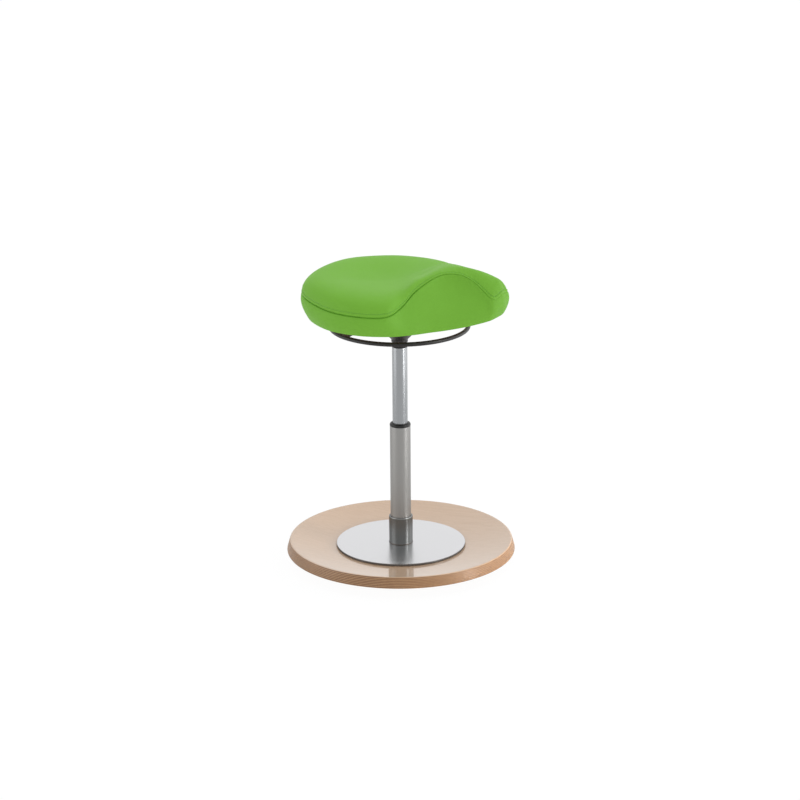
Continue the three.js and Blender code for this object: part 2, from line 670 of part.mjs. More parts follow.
/** The two curves of the rib at a station: over the top to the seam, and down the side to the edge. */
function rib(u) {
  const row = passThrough(stationShares, u, stationMirror);
  const [behind, ahead] = [stationShares[Math.floor(u)], stationShares[Math.ceil(u)]];
  const spine = THREE.MathUtils.clamp(row[0], behind[0], ahead[0]) * seat.reach;
  const seamPlace = row[1] * seat.reach;
  const seamOffset = row[2] * seat.halfWidth;
  const [seamHeight, inwards, upwards, highBulge, lowBulge] = row.slice(3, 8).map((share) => share * seat.rise);
  const edgePlace = row[8] * seat.reach;
  const edgeOffset = row[9] * seat.halfWidth;
  const [spineHeight, slope] = spineAt(spine);
  const point = (offset, place, z) => new THREE.Vector3(-offset, -place, z);
  const start = point(0, spine, spineHeight);
  const seam = point(seamOffset, seamPlace, lowerEdge + seamHeight);
  const edge = point(edgeOffset, edgePlace, lowerEdge + kick(edgePlace));
  const out = seam.clone().sub(start).setZ(0);
  const outEdge = edge.clone().sub(start).setZ(0).normalize();
  const hold = start.clone().addScaledVector(out, crownHold).setZ(spineHeight + slope * crownHold * (seamPlace - spine));
  out.normalize();
  const shoulder = seam.clone().addScaledVector(out, -inwards).setZ(seam.z + upwards);
  const fall = seam.z - edge.z;
  const under = seam.clone().addScaledVector(out, highBulge).setZ(seam.z - bandHold * fall);
  const over = edge.clone().addScaledVector(outEdge, lowBulge).setZ(edge.z + bandHold * fall);
  return {
    top: new THREE.CubicBezierCurve3(start, hold, shoulder, seam),
    band: new THREE.CubicBezierCurve3(seam, under, over, edge),
    start, edge, outEdge, slope,
  };
}

const stationCount = (stationShares.length - 1) * facets.stationSteps;
const nudge = 1e-3;

/** Outward normal of the cover on a rib, from small steps along and across it. */
function coverNormal(u, part, t) {
  if (part === 'top' && t < nudge) return new THREE.Vector3(0, rib(u).slope, 1).normalize();
  const ahead = Math.min(u + nudge, stationShares.length - 1);
  const along = rib(ahead)[part].getPoint(t).sub(rib(ahead - nudge)[part].getPoint(t));
  const high = Math.min(t + nudge, 1);
  const down = rib(u)[part].getPoint(high).sub(rib(u)[part].getPoint(high - nudge));
  return down.cross(along).normalize();
}

/** A row of points round the seat: one side's points, and their mirror for the other side. */
function around(pointAt) {
  const side = Array.from({ length: stationCount + 1 }, (_, i) => pointAt(i / facets.stationSteps));
  const mirrored = side.slice(1, -1).reverse().map((p) => new THREE.Vector3(-p.x, p.y, p.z));
  return [...side, ...mirrored];
}

/** Outward direction at the seam, shared by the top and the side so that their sewn edges stay parallel. */
function seamNormal(u) {
  return coverNormal(u, 'top', 1).add(coverNormal(u, 'band', 0)).normalize();
}

/** A row of the cover, sunk below its outer face, and drawn in by the stitching at the seam. */
function coverRow(part, t, sunk = 0, shift = 0) {
  const atSeam = (part === 'top' && t === 1) || (part === 'band' && t === 0);
  return around((u) => {
    const point = rib(u)[part].getPoint(t);
    if (!atSeam) return point.addScaledVector(coverNormal(u, part, t), -sunk);
    point.addScaledVector(seamNormal(u), -sunk - seat.seamPull);
    point.z += shift;
    return point;
  });
}

/** A row on the seat pan's level, drawn in from the lower edge and raised, down to the spine at zero. */
function panRow(share, inset, raise) {
  return around((u) => {
    const { start, edge, outEdge } = rib(u);
    const rim = edge.clone().addScaledVector(outEdge, -inset);
    const point = start.clone().lerp(rim, share);
    return point.setZ(lowerEdge + kick(-point.y) + raise);
  });
}

/** Joins rows of points into one closed skin, with its faces turned outwards. Each patch is split along
 *  its shorter diagonal, so that skins that lie close to each other are split alike. */
function skin(rows, ringed = false) {
  const count = rows[0].length;
  const points = rows.flat();
  const positions = points.flatMap((p) => [p.x, p.y, p.z]);
  const index = [];
  for (let r = 0; r < (ringed ? rows.length : rows.length - 1); r += 1) {
    const next = (r + 1) % rows.length;
    for (let i = 0; i < count; i += 1) {
      const j = (i + 1) % count;
      const [a, b, c, d] = [r * count + i, r * count + j, next * count + j, next * count + i];
      if (points[a].distanceTo(points[c]) < points[b].distanceTo(points[d])) index.push(a, c, b, a, d, c);
      else index.push(a, d, b, b, d, c);
    }
  }
  const geometry = new THREE.BufferGeometry();
  geometry.setAttribute('position', new THREE.Float32BufferAttribute(positions, 3));
  geometry.setIndex(index);
  return geometry;
}

const topShares = [0, 0.18, 0.38, 0.58, 0.76, 0.9, 0.97, 1];
const bandShares = [0, 0.05, 0.16, 0.34, 0.55, 0.76, 1];
const foamTopShares = topShares.filter((t) => t !== topShares.at(-2));
const foamBandShares = bandShares.slice(2, -2);
const lining = seat.cover + seat.foamGap;

// Seat pan: pressed plywood, bent up under the nose, with holes for the nuts

const panLow = seat.lowerEdge;  // it lies on the mounting plate
const panHigh = panLow + seat.panThickness;

function seatPan() {
  const rows = [
    panRow(0, seat.panInset, panHigh), panRow(0.6, seat.panInset, panHigh), panRow(1, seat.panInset, panHigh),
    panRow(1, seat.panInset, panLow), panRow(0.6, seat.panInset, panLow), panRow(0, seat.panInset, panLow),
  ];
  const holes = seatScrewPlaces.map(([x, y]) => pin(
    teeNut.barrel + seating, lowerEdge - overrun, lowerEdge + panHigh + overrun, x, y));
  return cut(skin(rows), ...holes);
}
add('seat_pan', seatPan(), seatPly);

// Screws through the mounting plate into tee nuts in the pan

const panTopHeight = lowerEdge + panHigh;
seatScrewPlaces.forEach(([x, y], i) => {
  const flangeLow = panTopHeight + seating;
  const nut = turned(profile([
    [teeNut.bore, flangeLow - teeNut.barrelLength], [teeNut.barrel, flangeLow - teeNut.barrelLength],
    [teeNut.barrel, flangeLow], [teeNut.flange, flangeLow],
    [teeNut.flange, flangeLow + teeNut.flangeThickness], [teeNut.bore, flangeLow + teeNut.flangeThickness],
  ]), facets.small);
  add(`tee_nut_${i + 1}`, nut.translate(x, y, 0), zincSteel);
  const headFace = mountLow - seating;
  const tip = headFace + seatScrew.length;
  add(`seat_screw_${i + 1}`, socketScrew({ ...seatScrew, shank: teeNut.bore - seating }, headFace, tip).translate(x, y, 0), zincSteel);
});

// Foam: one moulded block under the cover, on the pan

function seatFoam() {
  const floor = panHigh + seat.padding;
  return skin([
    ...foamTopShares.map((t) => coverRow('top', t, lining + (t === 1 ? seat.foamRelief : 0))),
    ...foamBandShares.map((t) => coverRow('band', t, lining)),
    panRow(1, seat.foamInset, floor), panRow(0.6, seat.foamInset, floor), panRow(0, seat.foamInset, floor),
  ]);
}
add('seat_foam', seatFoam(), foamYellow);

// Cover: a top panel and a side band, sewn together along the seam that climbs to the saddle's ridge

function coverTop() {
  const outside = topShares.map((t) => coverRow('top', t, 0, t === 1 ? seat.seamGap : 0));
  const inside = topShares.map((t) => coverRow('top', t, seat.cover, t === 1 ? seat.seamGap : 0)).reverse();
  return skin([...outside, ...inside]);
}
add('cover_top', coverTop(), greenCover);

function coverBand() {
  const shift = (t) => (t === 0 ? -seat.seamGap : 0);
  const outside = bandShares.map((t) => coverRow('band', t, 0, shift(t)));
  const hemOut = panRow(1, seat.hem, 0);
  const hemIn = panRow(1, seat.hem, seat.cover);
  const insideFoot = panRow(1, seat.cover, seat.cover);
  const inside = bandShares.slice(0, -1).map((t) => coverRow('band', t, seat.cover, shift(t))).reverse();
  return skin([...outside, hemOut, hemIn, insideFoot, ...inside], true);
}
add('cover_band', coverBand(), greenCover);

export default stool;
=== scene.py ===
# A wobble stool: a sewn saddle seat on a gas spring column, standing on a dished plywood disc that
# rocks on its ball-shaped underside. Sizes are in millimetres and turned to metres as each mesh is made.

import math

import bmesh
import bpy
import numpy as np
from mathutils import Matrix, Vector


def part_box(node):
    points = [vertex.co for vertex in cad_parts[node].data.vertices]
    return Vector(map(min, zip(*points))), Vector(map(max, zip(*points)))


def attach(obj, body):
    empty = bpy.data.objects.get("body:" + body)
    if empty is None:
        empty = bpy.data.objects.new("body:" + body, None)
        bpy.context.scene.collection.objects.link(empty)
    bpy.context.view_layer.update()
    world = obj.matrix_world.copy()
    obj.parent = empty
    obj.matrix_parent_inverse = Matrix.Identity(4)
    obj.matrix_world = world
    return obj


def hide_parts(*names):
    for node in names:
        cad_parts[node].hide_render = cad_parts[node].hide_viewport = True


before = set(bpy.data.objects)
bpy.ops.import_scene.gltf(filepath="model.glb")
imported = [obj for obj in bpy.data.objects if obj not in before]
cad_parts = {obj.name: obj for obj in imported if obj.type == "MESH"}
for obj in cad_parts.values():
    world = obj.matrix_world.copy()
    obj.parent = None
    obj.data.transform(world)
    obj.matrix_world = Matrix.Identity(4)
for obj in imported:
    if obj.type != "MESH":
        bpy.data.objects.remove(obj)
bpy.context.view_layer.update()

# Rocker disc
# Beech veneers glued and pressed in a dished mould, then sawn round with the edge leaning in upwards.
# It is sealed with clear gloss lacquer, and its layers show as fine lines on the edge.

disc_radius = 212.0
ball_radius = 1131.0
ball_centre = 1132.0
disc_thickness = 20.8
rim_lean = 1.8
pad_recess = 55.3
recess_height = 3.0
round_steps = 192


def dish(r, radius):
    """Height of the ball-shaped face at r from the column: the ball's centre less the root of radius
    squared minus r squared."""
    return ball_centre - np.sqrt(radius**2 - np.asarray(r, float) ** 2)


def outline(corners, steps=5):
    """Turns corners of (radius, height, rounding) into points. A rounded corner becomes a quadratic
    curve that leaves and rejoins its two sides at that distance from the corner."""
    points = []
    count = len(corners)
    t = np.linspace(0, 1, steps + 1)[:, None]
    for i, corner in enumerate(corners):
        here = np.array(corner[:2], float)
        rounding = corner[2] if len(corner) > 2 else 0
        if not rounding:
            points.append(here[None])
            continue
        before = np.array(corners[i - 1][:2], float) - here
        after = np.array(corners[(i + 1) % count][:2], float) - here
        start = here + before / np.linalg.norm(before) * rounding
        end = here + after / np.linalg.norm(after) * rounding
        points.append((1 - t) ** 2 * start + 2 * t * (1 - t) * here + t**2 * end)
    return np.concatenate(points)


def net(rows, columns, ring=True):
    """Four-cornered faces between neighbours of a grid of points. The columns go all the way round, and
    so do the rows where ring is true."""
    i = np.arange(rows if ring else rows - 1)[:, None]
    j = np.arange(columns)[None, :]
    below, beside = (i + 1) % rows, (j + 1) % columns
    corners = [i * columns + j, i * columns + beside, below * columns + beside, below * columns + j]
    return np.stack([np.broadcast_to(c, (len(i), columns)) for c in corners], -1).reshape(-1, 4)


def turned(profile, turns=round_steps):
    """Carries a closed outline of (radius, height) round the column: x is radius times the cosine of the
    angle, y is radius times its sine, and z is the height."""
    angle = np.linspace(0, 2 * np.pi, turns, endpoint=False)
    radius, height = profile[:, :1], profile[:, 1:2]
    points = np.stack([radius * np.cos(angle), radius * np.sin(angle), height + 0 * angle], -1)
    return points.reshape(-1, 3), net(len(profile), turns)


def piece(name, points, faces, body, material, sharp=32.0):
    """Makes a shown piece in its place: equal points are merged, faces are turned outwards, and edges
    that bend by more than sharp degrees stay crisp."""
    mesh = bpy.data.meshes.new(name)
    mesh.from_pydata((np.asarray(points) * 0.001).tolist(), [], np.asarray(faces).tolist())
    bm = bmesh.new()
    bm.from_mesh(mesh)
    bmesh.ops.remove_doubles(bm, verts=bm.verts, dist=2e-6)
    bmesh.ops.dissolve_degenerate(bm, dist=1e-6, edges=bm.edges)
    bmesh.ops.recalc_face_normals(bm, faces=bm.faces)
    bm.to_mesh(mesh)
    bm.free()
    mesh.polygons.foreach_set("use_smooth", np.ones(len(mesh.polygons), bool))
    mesh.set_sharp_from_angle(angle=math.radians(sharp))
    mesh.materials.append(material)
    made = bpy.data.objects.new(name, mesh)
    bpy.context.scene.collection.objects.link(made)
    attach(made, body)
    return made


def colour(code):
    """A hex colour in sRGB as linear light: the low end is a straight line, the rest a power of 2.4."""
    value = np.array([int(code[i : i + 2], 16) for i in (1, 3, 5)]) / 255
    linear = np.where(value <= 0.04045, value / 12.92, ((value + 0.055) / 1.055) ** 2.4)
    return (*linear.tolist(), 1.0)


def put(tree, kind, sockets=(), **fields):
    """Adds one node, sets its fields, and fills its sockets by name with values or links."""
    made = tree.nodes.new(kind)
    for name, value in fields.items():
        setattr(made, name, value)
    for name, value in dict(sockets).items():
        if isinstance(value, bpy.types.NodeSocket):
            tree.links.new(value, made.inputs[name])
        else:
            made.inputs[name].default_value = value
    return made


def new_material(name):
    """A material with no nodes but the place on the object, by which its patterns lie."""
    made = bpy.data.materials.new(name)
    made.use_nodes = True
    made.node_tree.nodes.clear()
    return made, made.node_tree, put(made.node_tree, "ShaderNodeTexCoord").outputs["Object"]


def surface(tree, sockets):
    """Ends a material with a Principled shader that has these sockets."""
    shader = put(tree, "ShaderNodeBsdfPrincipled", sockets)
    put(tree, "ShaderNodeOutputMaterial", {"Surface": shader.outputs[0]})


def stretched(tree, place, scale):
    """The place scaled along x, y and z. A small scale draws a pattern out along that axis."""
    return put(tree, "ShaderNodeMapping", {"Vector": place, "Scale": scale}).outputs[0]


def noise(tree, place, scale, detail, roughness=0.5):
    """Soft noise between 0 and 1."""
    sockets = {"Vector": place, "Scale": scale, "Detail": detail, "Roughness": roughness}
    return put(tree, "ShaderNodeTexNoise", sockets).outputs["Fac"]


def ranged(tree, value, low, high, start=0.0, end=1.0):
    """Carries a value from the range of start to end into that of low to high, and holds it there."""
    sockets = {"Value": value, "From Min": start, "From Max": end, "To Min": low, "To Max": high}
    return put(tree, "ShaderNodeMapRange", sockets).outputs[0]


def blend(tree, share, first, second):
    """A colour between two, each of them a hex code or another node's colour."""
    made = put(tree, "ShaderNodeMix", {"Factor": share}, data_type="RGBA")
    for socket, value in ((6, first), (7, second)):
        if isinstance(value, str):
            made.inputs[socket].default_value = colour(value)
        else:
            tree.links.new(value, made.inputs[socket])
    return made.outputs[2]


def bump(tree, height, strength, distance):
    """The normals of a fine relief of this height."""
    sockets = {"Height": height, "Strength": strength, "Distance": distance}
    return put(tree, "ShaderNodeBump", sockets).outputs[0]


def reckon(tree, operation, *values, kind="ShaderNodeMath"):
    """One operation on values, by a node."""
    return put(tree, kind, dict(enumerate(values)), operation=operation).outputs[0]


def unit(vectors):
    """The same directions with a length of one."""
    return vectors / np.linalg.norm(vectors, axis=-1, keepdims=True)


def smooth(share):
    """A share from 0 to 1 that starts and ends level."""
    return share * share * (3 - 2 * share)


def rounded_square(c, s, power):
    """How far a rounded square reaches at an angle with this cosine and sine: a superellipse."""
    return (np.abs(c) ** power + np.abs(s) ** power) ** (-1 / power)


def in_plan(along, across, z, angle):
    """Points from lengths along and across a direction in plan, at heights z."""
    x = along * math.cos(angle) - across * math.sin(angle)
    y = along * math.sin(angle) + across * math.cos(angle)
    return np.stack([x, y, z], -1)


# Lacquered beech veneer. Rotary-cut beech is pale pinkish brown with faint straight streaks and short
# darker flecks along the grain. The thick gloss lacquer on the two faces mirrors at low angles.
beech, tree, place = new_material("lacquered_beech_veneer")
grain_place = stretched(tree, place, (1.0, 0.03, 1.0))
grain = noise(tree, grain_place, 240.0, 5.0, 0.6)
grain_tone = ranged(tree, grain, 0.0, 1.0, 0.3, 0.7)
face = blend(tree, grain_tone, "#C39E7C", "#CBA786")
fleck_place = stretched(tree, place, (1.0, 0.16, 1.0))
fleck = put(tree, "ShaderNodeTexVoronoi", {"Vector": fleck_place, "Scale": 620.0})
fleck_mask = ranged(tree, fleck.outputs["Distance"], 0.45, 0.0, 0.10, 0.24)
flecked = blend(tree, fleck_mask, face, "#A27B5B")
relief = bump(tree, grain, 0.05, 0.0003)
surface(tree, {
    "Base Color": flecked, "Roughness": 0.34, "Coat Weight": 1.0, "Coat Roughness": 0.05,
    "Coat IOR": 1.6, "Normal": relief})

# Sawn edge of the plywood. Layers of one veneer's thickness follow the dish, with a thin dark glue line
# between two. Each shows long grain where the edge runs along its grain, and darker end grain where it
# runs across, and the layers lie crosswise by turns. The edge is sealed thinly, so it mirrors little.
sawn_edge, tree, place = new_material("sawn_plywood_edge")
layer_shift = 0.3
layers_through = 14.9
glue_share = 0.28
veneer = (disc_thickness + layer_shift) / layers_through
centre = (0, 0, ball_centre * 0.001)
from_centre = put(tree, "ShaderNodeVectorMath", {0: place, 1: centre}, operation="DISTANCE")
depth = reckon(tree, "SUBTRACT", (ball_radius + layer_shift) * 0.001, from_centre.outputs["Value"])
layer = reckon(tree, "DIVIDE", depth, veneer * 0.001)
within = reckon(tree, "FRACT", layer)
number = reckon(tree, "FLOOR", layer)
odd = reckon(tree, "MODULO", number, 2.0)
glue = reckon(tree, "LESS_THAN", within, glue_share)
flat = reckon(tree, "MULTIPLY", place, (1, 1, 0), kind="ShaderNodeVectorMath")
outward_way = reckon(tree, "NORMALIZE", flat, kind="ShaderNodeVectorMath")
outward_parts = put(tree, "ShaderNodeSeparateXYZ", {0: outward_way})
across_face = reckon(tree, "MULTIPLY", outward_parts.outputs["Y"], outward_parts.outputs["Y"])
crossed = reckon(tree, "SUBTRACT", odd, across_face)
end_share = reckon(tree, "ABSOLUTE", crossed)
fibres = noise(tree, place, 1400.0, 2.0)
end_mix = blend(tree, fibres, "#704A2C", "#90623D")
streak_place = stretched(tree, place, (0.15, 0.15, 1.0))
streaks = noise(tree, streak_place, 700.0, 3.0)
side_mix = blend(tree, streaks, "#B18253", "#D0A372")
sawn = blend(tree, end_share, side_mix, end_mix)
glued = blend(tree, glue, sawn, "#4E2F1A")
relief = bump(tree, fibres, 0.1, 0.0002)
surface(tree, {
    "Base Color": glued, "Roughness": 0.5, "Coat Weight": 0.2, "Coat Roughness": 0.25,
    "Normal": relief})

top_radius = disc_radius * (ball_radius - disc_thickness) / ball_radius - rim_lean
under = np.linspace(pad_recess, disc_radius, 24)
upper = np.linspace(top_radius, 0, 30)
disc_corners = [(0, recess_height), (pad_recess, recess_height)]
disc_corners += [(r, dish(r, ball_radius)) for r in under[:-1]]
disc_corners += [(disc_radius, dish(disc_radius, ball_radius), 1.5)]
disc_corners += [(top_radius, dish(top_radius, ball_radius - disc_thickness), 3.0)]
disc_corners += [(r, dish(r, ball_radius - disc_thickness)) for r in upper[1:]]
disc = piece("plywood_disc", *turned(outline(disc_corners), 256), "base", beech)
disc.data.materials.append(sawn_edge)


def mark_edge(made, steepest, from_radius):
    """Gives a disc's second material to its steep faces outside a radius in metres."""
    for face in made.data.polygons:
        if abs(face.normal.z) < steepest and math.hypot(*face.center[:2]) > from_radius:
            face.material_index = 1


mark_edge(disc, 0.7, 0.15)
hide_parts("rocker_disc")

# Floor pad
# A black rubber disc glued into the middle of the underside, with its centre moulded flat so that the
# stool stands still when nobody leans on it.

rubber, tree, place = new_material("moulded_black_rubber")
grit = noise(tree, place, 1800.0, 3.0)
relief = bump(tree, grit, 0.25, 0.0004)
tone = ranged(tree, grit, 0.68, 0.9)
surface(tree, {
    "Base Color": colour("#1B1B1C"), "Roughness": tone, "Normal": relief})

pad_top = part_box("floor_pad")[1].z * 1000
pad_flat, pad_radius = 30.0, 55.0
groove_radii = (36.0, 42.0, 48.0)
groove_mouth, groove_bottom, groove_depth = 1.4, 0.9, 0.9


def pad_rise(r):
    """Height of the pad's underside over its flat middle."""
    return float(dish(r, ball_radius) - dish(pad_flat, ball_radius))


pad_face = [(0, 0), (pad_flat, 0)]
for r in groove_radii:
    low, high = pad_rise(r), pad_rise(r) + groove_depth
    pad_face += [(r - groove_mouth, low), (r - groove_bottom, high)]
    pad_face += [(r + groove_bottom, high), (r + groove_mouth, low)]
pad_face += [(pad_radius, pad_rise(pad_radius), 0.5), (pad_radius, pad_top), (0, pad_top)]
floor_rest = piece("rubber_floor_pad", *turned(outline(pad_face)), "base", rubber)
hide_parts("floor_pad")

# Base plate
# A laser-cut steel disc with a softened rim and a satin nickel finish. It bears on the plywood along its
# rim and is drawn down by four cap screws from below.

satin, tree, place = new_material("satin_nickel_plated_steel")
haze = noise(tree, place, 60.0, 4.0)
haze_tone = ranged(tree, haze, 0.20, 0.30)
fine = noise(tree, place, 2600.0, 2.0)
relief = bump(tree, fine, 0.05, 0.0002)
surface(tree, {
    "Base Color": colour("#DADADC"), "Metallic": 1.0, "Roughness": haze_tone, "Normal": relief})

# Cut edge of the plate. The beam left fine upright lines, which the plating has not filled. Its dark grey is
# painted shade: it stands in for the dark line of shadow and mirrored wood along the plate's rim.
shaded_cut_edge, tree, place = new_material("plated_cut_edge_painted_shade")
line_place = stretched(tree, place, (1.0, 1.0, 0.02))
lines = noise(tree, line_place, 1500.0, 3.0)
tint = blend(tree, lines, "#5C5B5B", "#7C7B7A")
relief = bump(tree, lines, 0.3, 0.0002)
surface(tree, {
    "Base Color": tint, "Metallic": 1.0, "Roughness": 0.48, "Normal": relief})

plate_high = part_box("base_plate")[1]
plate_radius, plate_top = plate_high.x * 1000, plate_high.z * 1000
plate_thickness, rod_hole = 4.0, 10
plate_bottom = plate_top - plate_thickness
plate_outline = outline([
    (rod_hole, plate_bottom), (plate_radius, plate_bottom, 0.5),
    (plate_radius, plate_top, 0.9), (rod_hole, plate_top)])
plate = piece("steel_base_plate", *turned(plate_outline), "base", satin)
plate.data.materials.append(shaded_cut_edge)
mark_edge(plate, 0.9, 0.05)
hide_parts("base_plate")

# Column collar
# A thick-walled socket turned from darkened steel, with a bevelled lip painted a lighter grey as a painted
# highlight where light catches the bevel. It is welded to the plate, and its foot is painted darker and
# browner as painted shade where it meets the plate.

dark, tree, place = new_material("turned_darkened_steel")
height = put(tree, "ShaderNodeSeparateXYZ", {0: place})
lathe_place = stretched(tree, place, (0.02, 0.02, 1.0))
tool_marks = noise(tree, lathe_place, 2200.0, 3.0)
marks_tone = ranged(tree, tool_marks, 0.26, 0.33)
lip_height, foot_height = 50.9, 1.4
# Painted highlight: the lip above 50.9 mm is a lighter grey. Painted shade: the lowest 1.4 mm is darker and
# browner.
lip_painted_highlight = reckon(tree, "GREATER_THAN", height.outputs["Z"], (plate_top + lip_height) * 0.001)
tint = blend(tree, lip_painted_highlight, "#656665", "#7C7C7B")
foot_painted_shade = reckon(tree, "LESS_THAN", height.outputs["Z"], (plate_top + foot_height) * 0.001)
with_painted_shade = blend(tree, foot_painted_shade, tint, "#4B4643")
relief = bump(tree, tool_marks, 0.02, 0.0002)
surface(tree, {
    "Base Color": with_painted_shade, "Metallic": 1.0, "Roughness": marks_tone, "Normal": relief})

collar_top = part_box("column_collar")[1].z * 1000
collar_outline = outline([
    (18.9, plate_top), (22.6, plate_top), (22.1, plate_top + 0.8), (21.8, plate_top + 1.6, 0.4),
    (22.2, collar_top - 1.3, 0.3), (21.3, collar_top), (19.3, collar_top), (19.3, plate_top + 44)])
collar = piece("steel_column_collar", *turned(collar_outline), "base", dark)
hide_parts("column_collar")

# Standpipe
# Drawn steel tube, 38 mm across, brushed lengthwise and lacquered, with a bevelled mouth.

brushed, tree, place = new_material("brushed_lacquered_steel_tube")
brush_place = stretched(tree, place, (1.0, 1.0, 0.012))
brush = noise(tree, brush_place, 1600.0, 4.0, 0.7)
brush_tone = ranged(tree, brush, 0.34, 0.5)
tint = blend(tree, brush, "#868583", "#9A9997")
relief = bump(tree, brush, 0.08, 0.0002)
surface(tree, {
    "Base Color": tint, "Metallic": 1.0, "Roughness": brush_tone, "Normal": relief})

pipe_low, pipe_high = (v.z * 1000 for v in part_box("standpipe"))
pipe_inner, pipe_outer = 17.25, 19
pipe_outline = outline([
    (pipe_inner, pipe_low), (pipe_outer, pipe_low),
    (pipe_outer, pipe_high, 0.7), (pipe_inner, pipe_high, 0.3)])
standpipe = piece("steel_standpipe", *turned(pipe_outline), "base", brushed)
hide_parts("standpipe")

# Guide bush
# Injection-moulded black acetal, pressed into the standpipe's mouth. Its rounded cap shows, and a thin
# lip wipes the tube that slides through it.

moulded, tree, place = new_material("moulded_black_acetal")
spark = noise(tree, place, 2400.0, 2.0)
relief = bump(tree, spark, 0.08, 0.0002)
tone = ranged(tree, spark, 0.28, 0.42)
surface(tree, {
    "Base Color": colour("#181716"), "Roughness": tone, "Normal": relief, "Specular IOR Level": 0.3})

bush_low, bush_high = (v.z * 1000 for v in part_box("guide_bush"))
cap_low = pipe_high + 0.3
bush_outline = outline([
    (14.3, bush_low), (16.95, bush_low), (16.95, cap_low), (19.3, cap_low, 0.3), (19.3, cap_low + 2.4, 0.6),
    (18.2, bush_high - 1.0, 1.0), (15.8, bush_high - 1.0, 0.3), (15.4, bush_high, 0.3), (14.3, bush_high)])
bush = piece("guide_bush_cap", *turned(bush_outline), "base", moulded)
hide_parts("guide_bush")

# Gas spring tube
# Ground steel tube, 28 mm across, in silver stoving lacquer, drawn in at its upper end to a cone.

silver, tree, place = new_material("silver_stoving_lacquer_on_steel")
flake = put(tree, "ShaderNodeTexVoronoi", {"Vector": place, "Scale": 3800.0})
flake_tone = ranged(tree, flake.outputs["Distance"], 0.24, 0.34)
tint = blend(tree, flake.outputs["Distance"], "#8D8F91", "#999B9D")
surface(tree, {
    "Base Color": tint, "Metallic": 0.92, "Roughness": flake_tone, "Coat Weight": 0.25,
    "Coat Roughness": 0.1})

tube_low, tube_high = (v.z * 1000 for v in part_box("gas_spring_tube"))
cone_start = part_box("cone_sleeve")[0].z * 1000 - 0.3
valve_seat = tube_high - 20
tube_outline = outline([
    (12, tube_low), (14, tube_low, 0.5), (14, cone_start - 0.3, 0.4), (12.1, cone_start),
    (11.4, tube_high, 0.4), (8.6, tube_high), (8.6, valve_seat),
    (10.2, valve_seat), (10.2, cone_start), (12, cone_start - 5)])
tube = piece("gas_spring_pressure_tube", *turned(tube_outline), "seat", silver)
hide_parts("gas_spring_tube")

# Cone sleeve and seat socket
# A black bush on the spring's cone, and the cast socket that grips it: a short round collar, a skirt
# that flares out to the underside of the seat, and a core with a window on two sides for the lever.

powder, tree, place = new_material("black_powder_coat")
peel = noise(tree, place, 900.0, 2.0)
relief = bump(tree, peel, 0.14, 0.0003)
tone = ranged(tree, peel, 0.34, 0.46)
surface(tree, {
    "Base Color": colour("#221F1E"), "Roughness": tone, "Normal": relief, "Specular IOR Level": 0.35})

sleeve_low, sleeve_high = (v.z * 1000 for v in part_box("cone_sleeve"))
socket_low, socket_high = (v.z * 1000 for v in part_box("seat_socket"))
sleeve_outline = outline([
    (12.4, sleeve_low), (13.5, sleeve_low, 0.4), (13.5, sleeve_low + 6.5, 0.4), (13, sleeve_low + 6.9, 0.2),
    (13, socket_low), (12.5, sleeve_high), (11.7, sleeve_high)])
cone_sleeve = piece("cone_sleeve_bush", *turned(sleeve_outline), "seat", moulded)
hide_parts("cone_sleeve")

t = np.linspace(0, 1, 14)[:, None]
collar_step = socket_low + 5
flare = (1 - t) ** 2 * [15.2, collar_step] + 2 * t * (1 - t) * [17.0, collar_step + 1.5]
flare += t**2 * [31, socket_low + 20.5]
lining = (flare + [-2.4, 1.2])[::-1]
lining = lining[lining[:, 0] > 17.5]
socket_profile = np.concatenate([
    outline([(13.3, socket_low), (15.2, socket_low, 0.6), (15.2, collar_step - 0.5)])[1:], flare, lining,
    [[17.4, lining[-1, 1]], [17.4, socket_high], [14.2, socket_high], [14.2, sleeve_high],
     [12.8, sleeve_high], [13.3, socket_low]]])
socket = piece("cast_seat_socket", *turned(socket_profile), "seat", powder)
spoke_angle = -math.pi / 2 - math.radians(126)


def cut_window(made, length, width, low, high, angle):
    """Cuts an upright block out of a piece with a Boolean, and keeps the result as its mesh."""
    corners = np.array([(x, y, z) for x in (-1, 1) for y in (-1, 1) for z in (0, 1)], float)
    along, across = corners[:, 0] * length / 2, corners[:, 1] * width / 2
    points = in_plan(along, across, low + corners[:, 2] * (high - low), angle) * 0.001
    faces = [(0, 1, 3, 2), (4, 6, 7, 5), (0, 4, 5, 1), (2, 3, 7, 6), (0, 2, 6, 4), (1, 5, 7, 3)]
    tool_mesh = bpy.data.meshes.new("window_tool")
    tool_mesh.from_pydata(points.tolist(), [], faces)
    tool = bpy.data.objects.new("window_tool", tool_mesh)
    bpy.context.scene.collection.objects.link(tool)
    cutter = made.modifiers.new("window", "BOOLEAN")
    cutter.operation = "DIFFERENCE"
    cutter.solver = "EXACT"
    cutter.object = tool
    bpy.context.view_layer.update()
    result = bpy.data.meshes.new_from_object(made.evaluated_get(bpy.context.evaluated_depsgraph_get()))
    made.modifiers.remove(cutter)
    made.data = result
    bpy.data.objects.remove(tool)


cut_window(socket, 60, 17, socket_high - 14, socket_high + 5, spoke_angle)
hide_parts("seat_socket")

# Lever ring
# Round steel wire bent to a ring and butt-welded, powder coated black. Any part of it can be pulled up.

ring_low, ring_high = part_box("lever_ring")
ring_middle = (ring_low.z + ring_high.z) * 500
wire_radius = (ring_high.z - ring_low.z) * 500
ring_radius = ring_high.x * 1000 - wire_radius


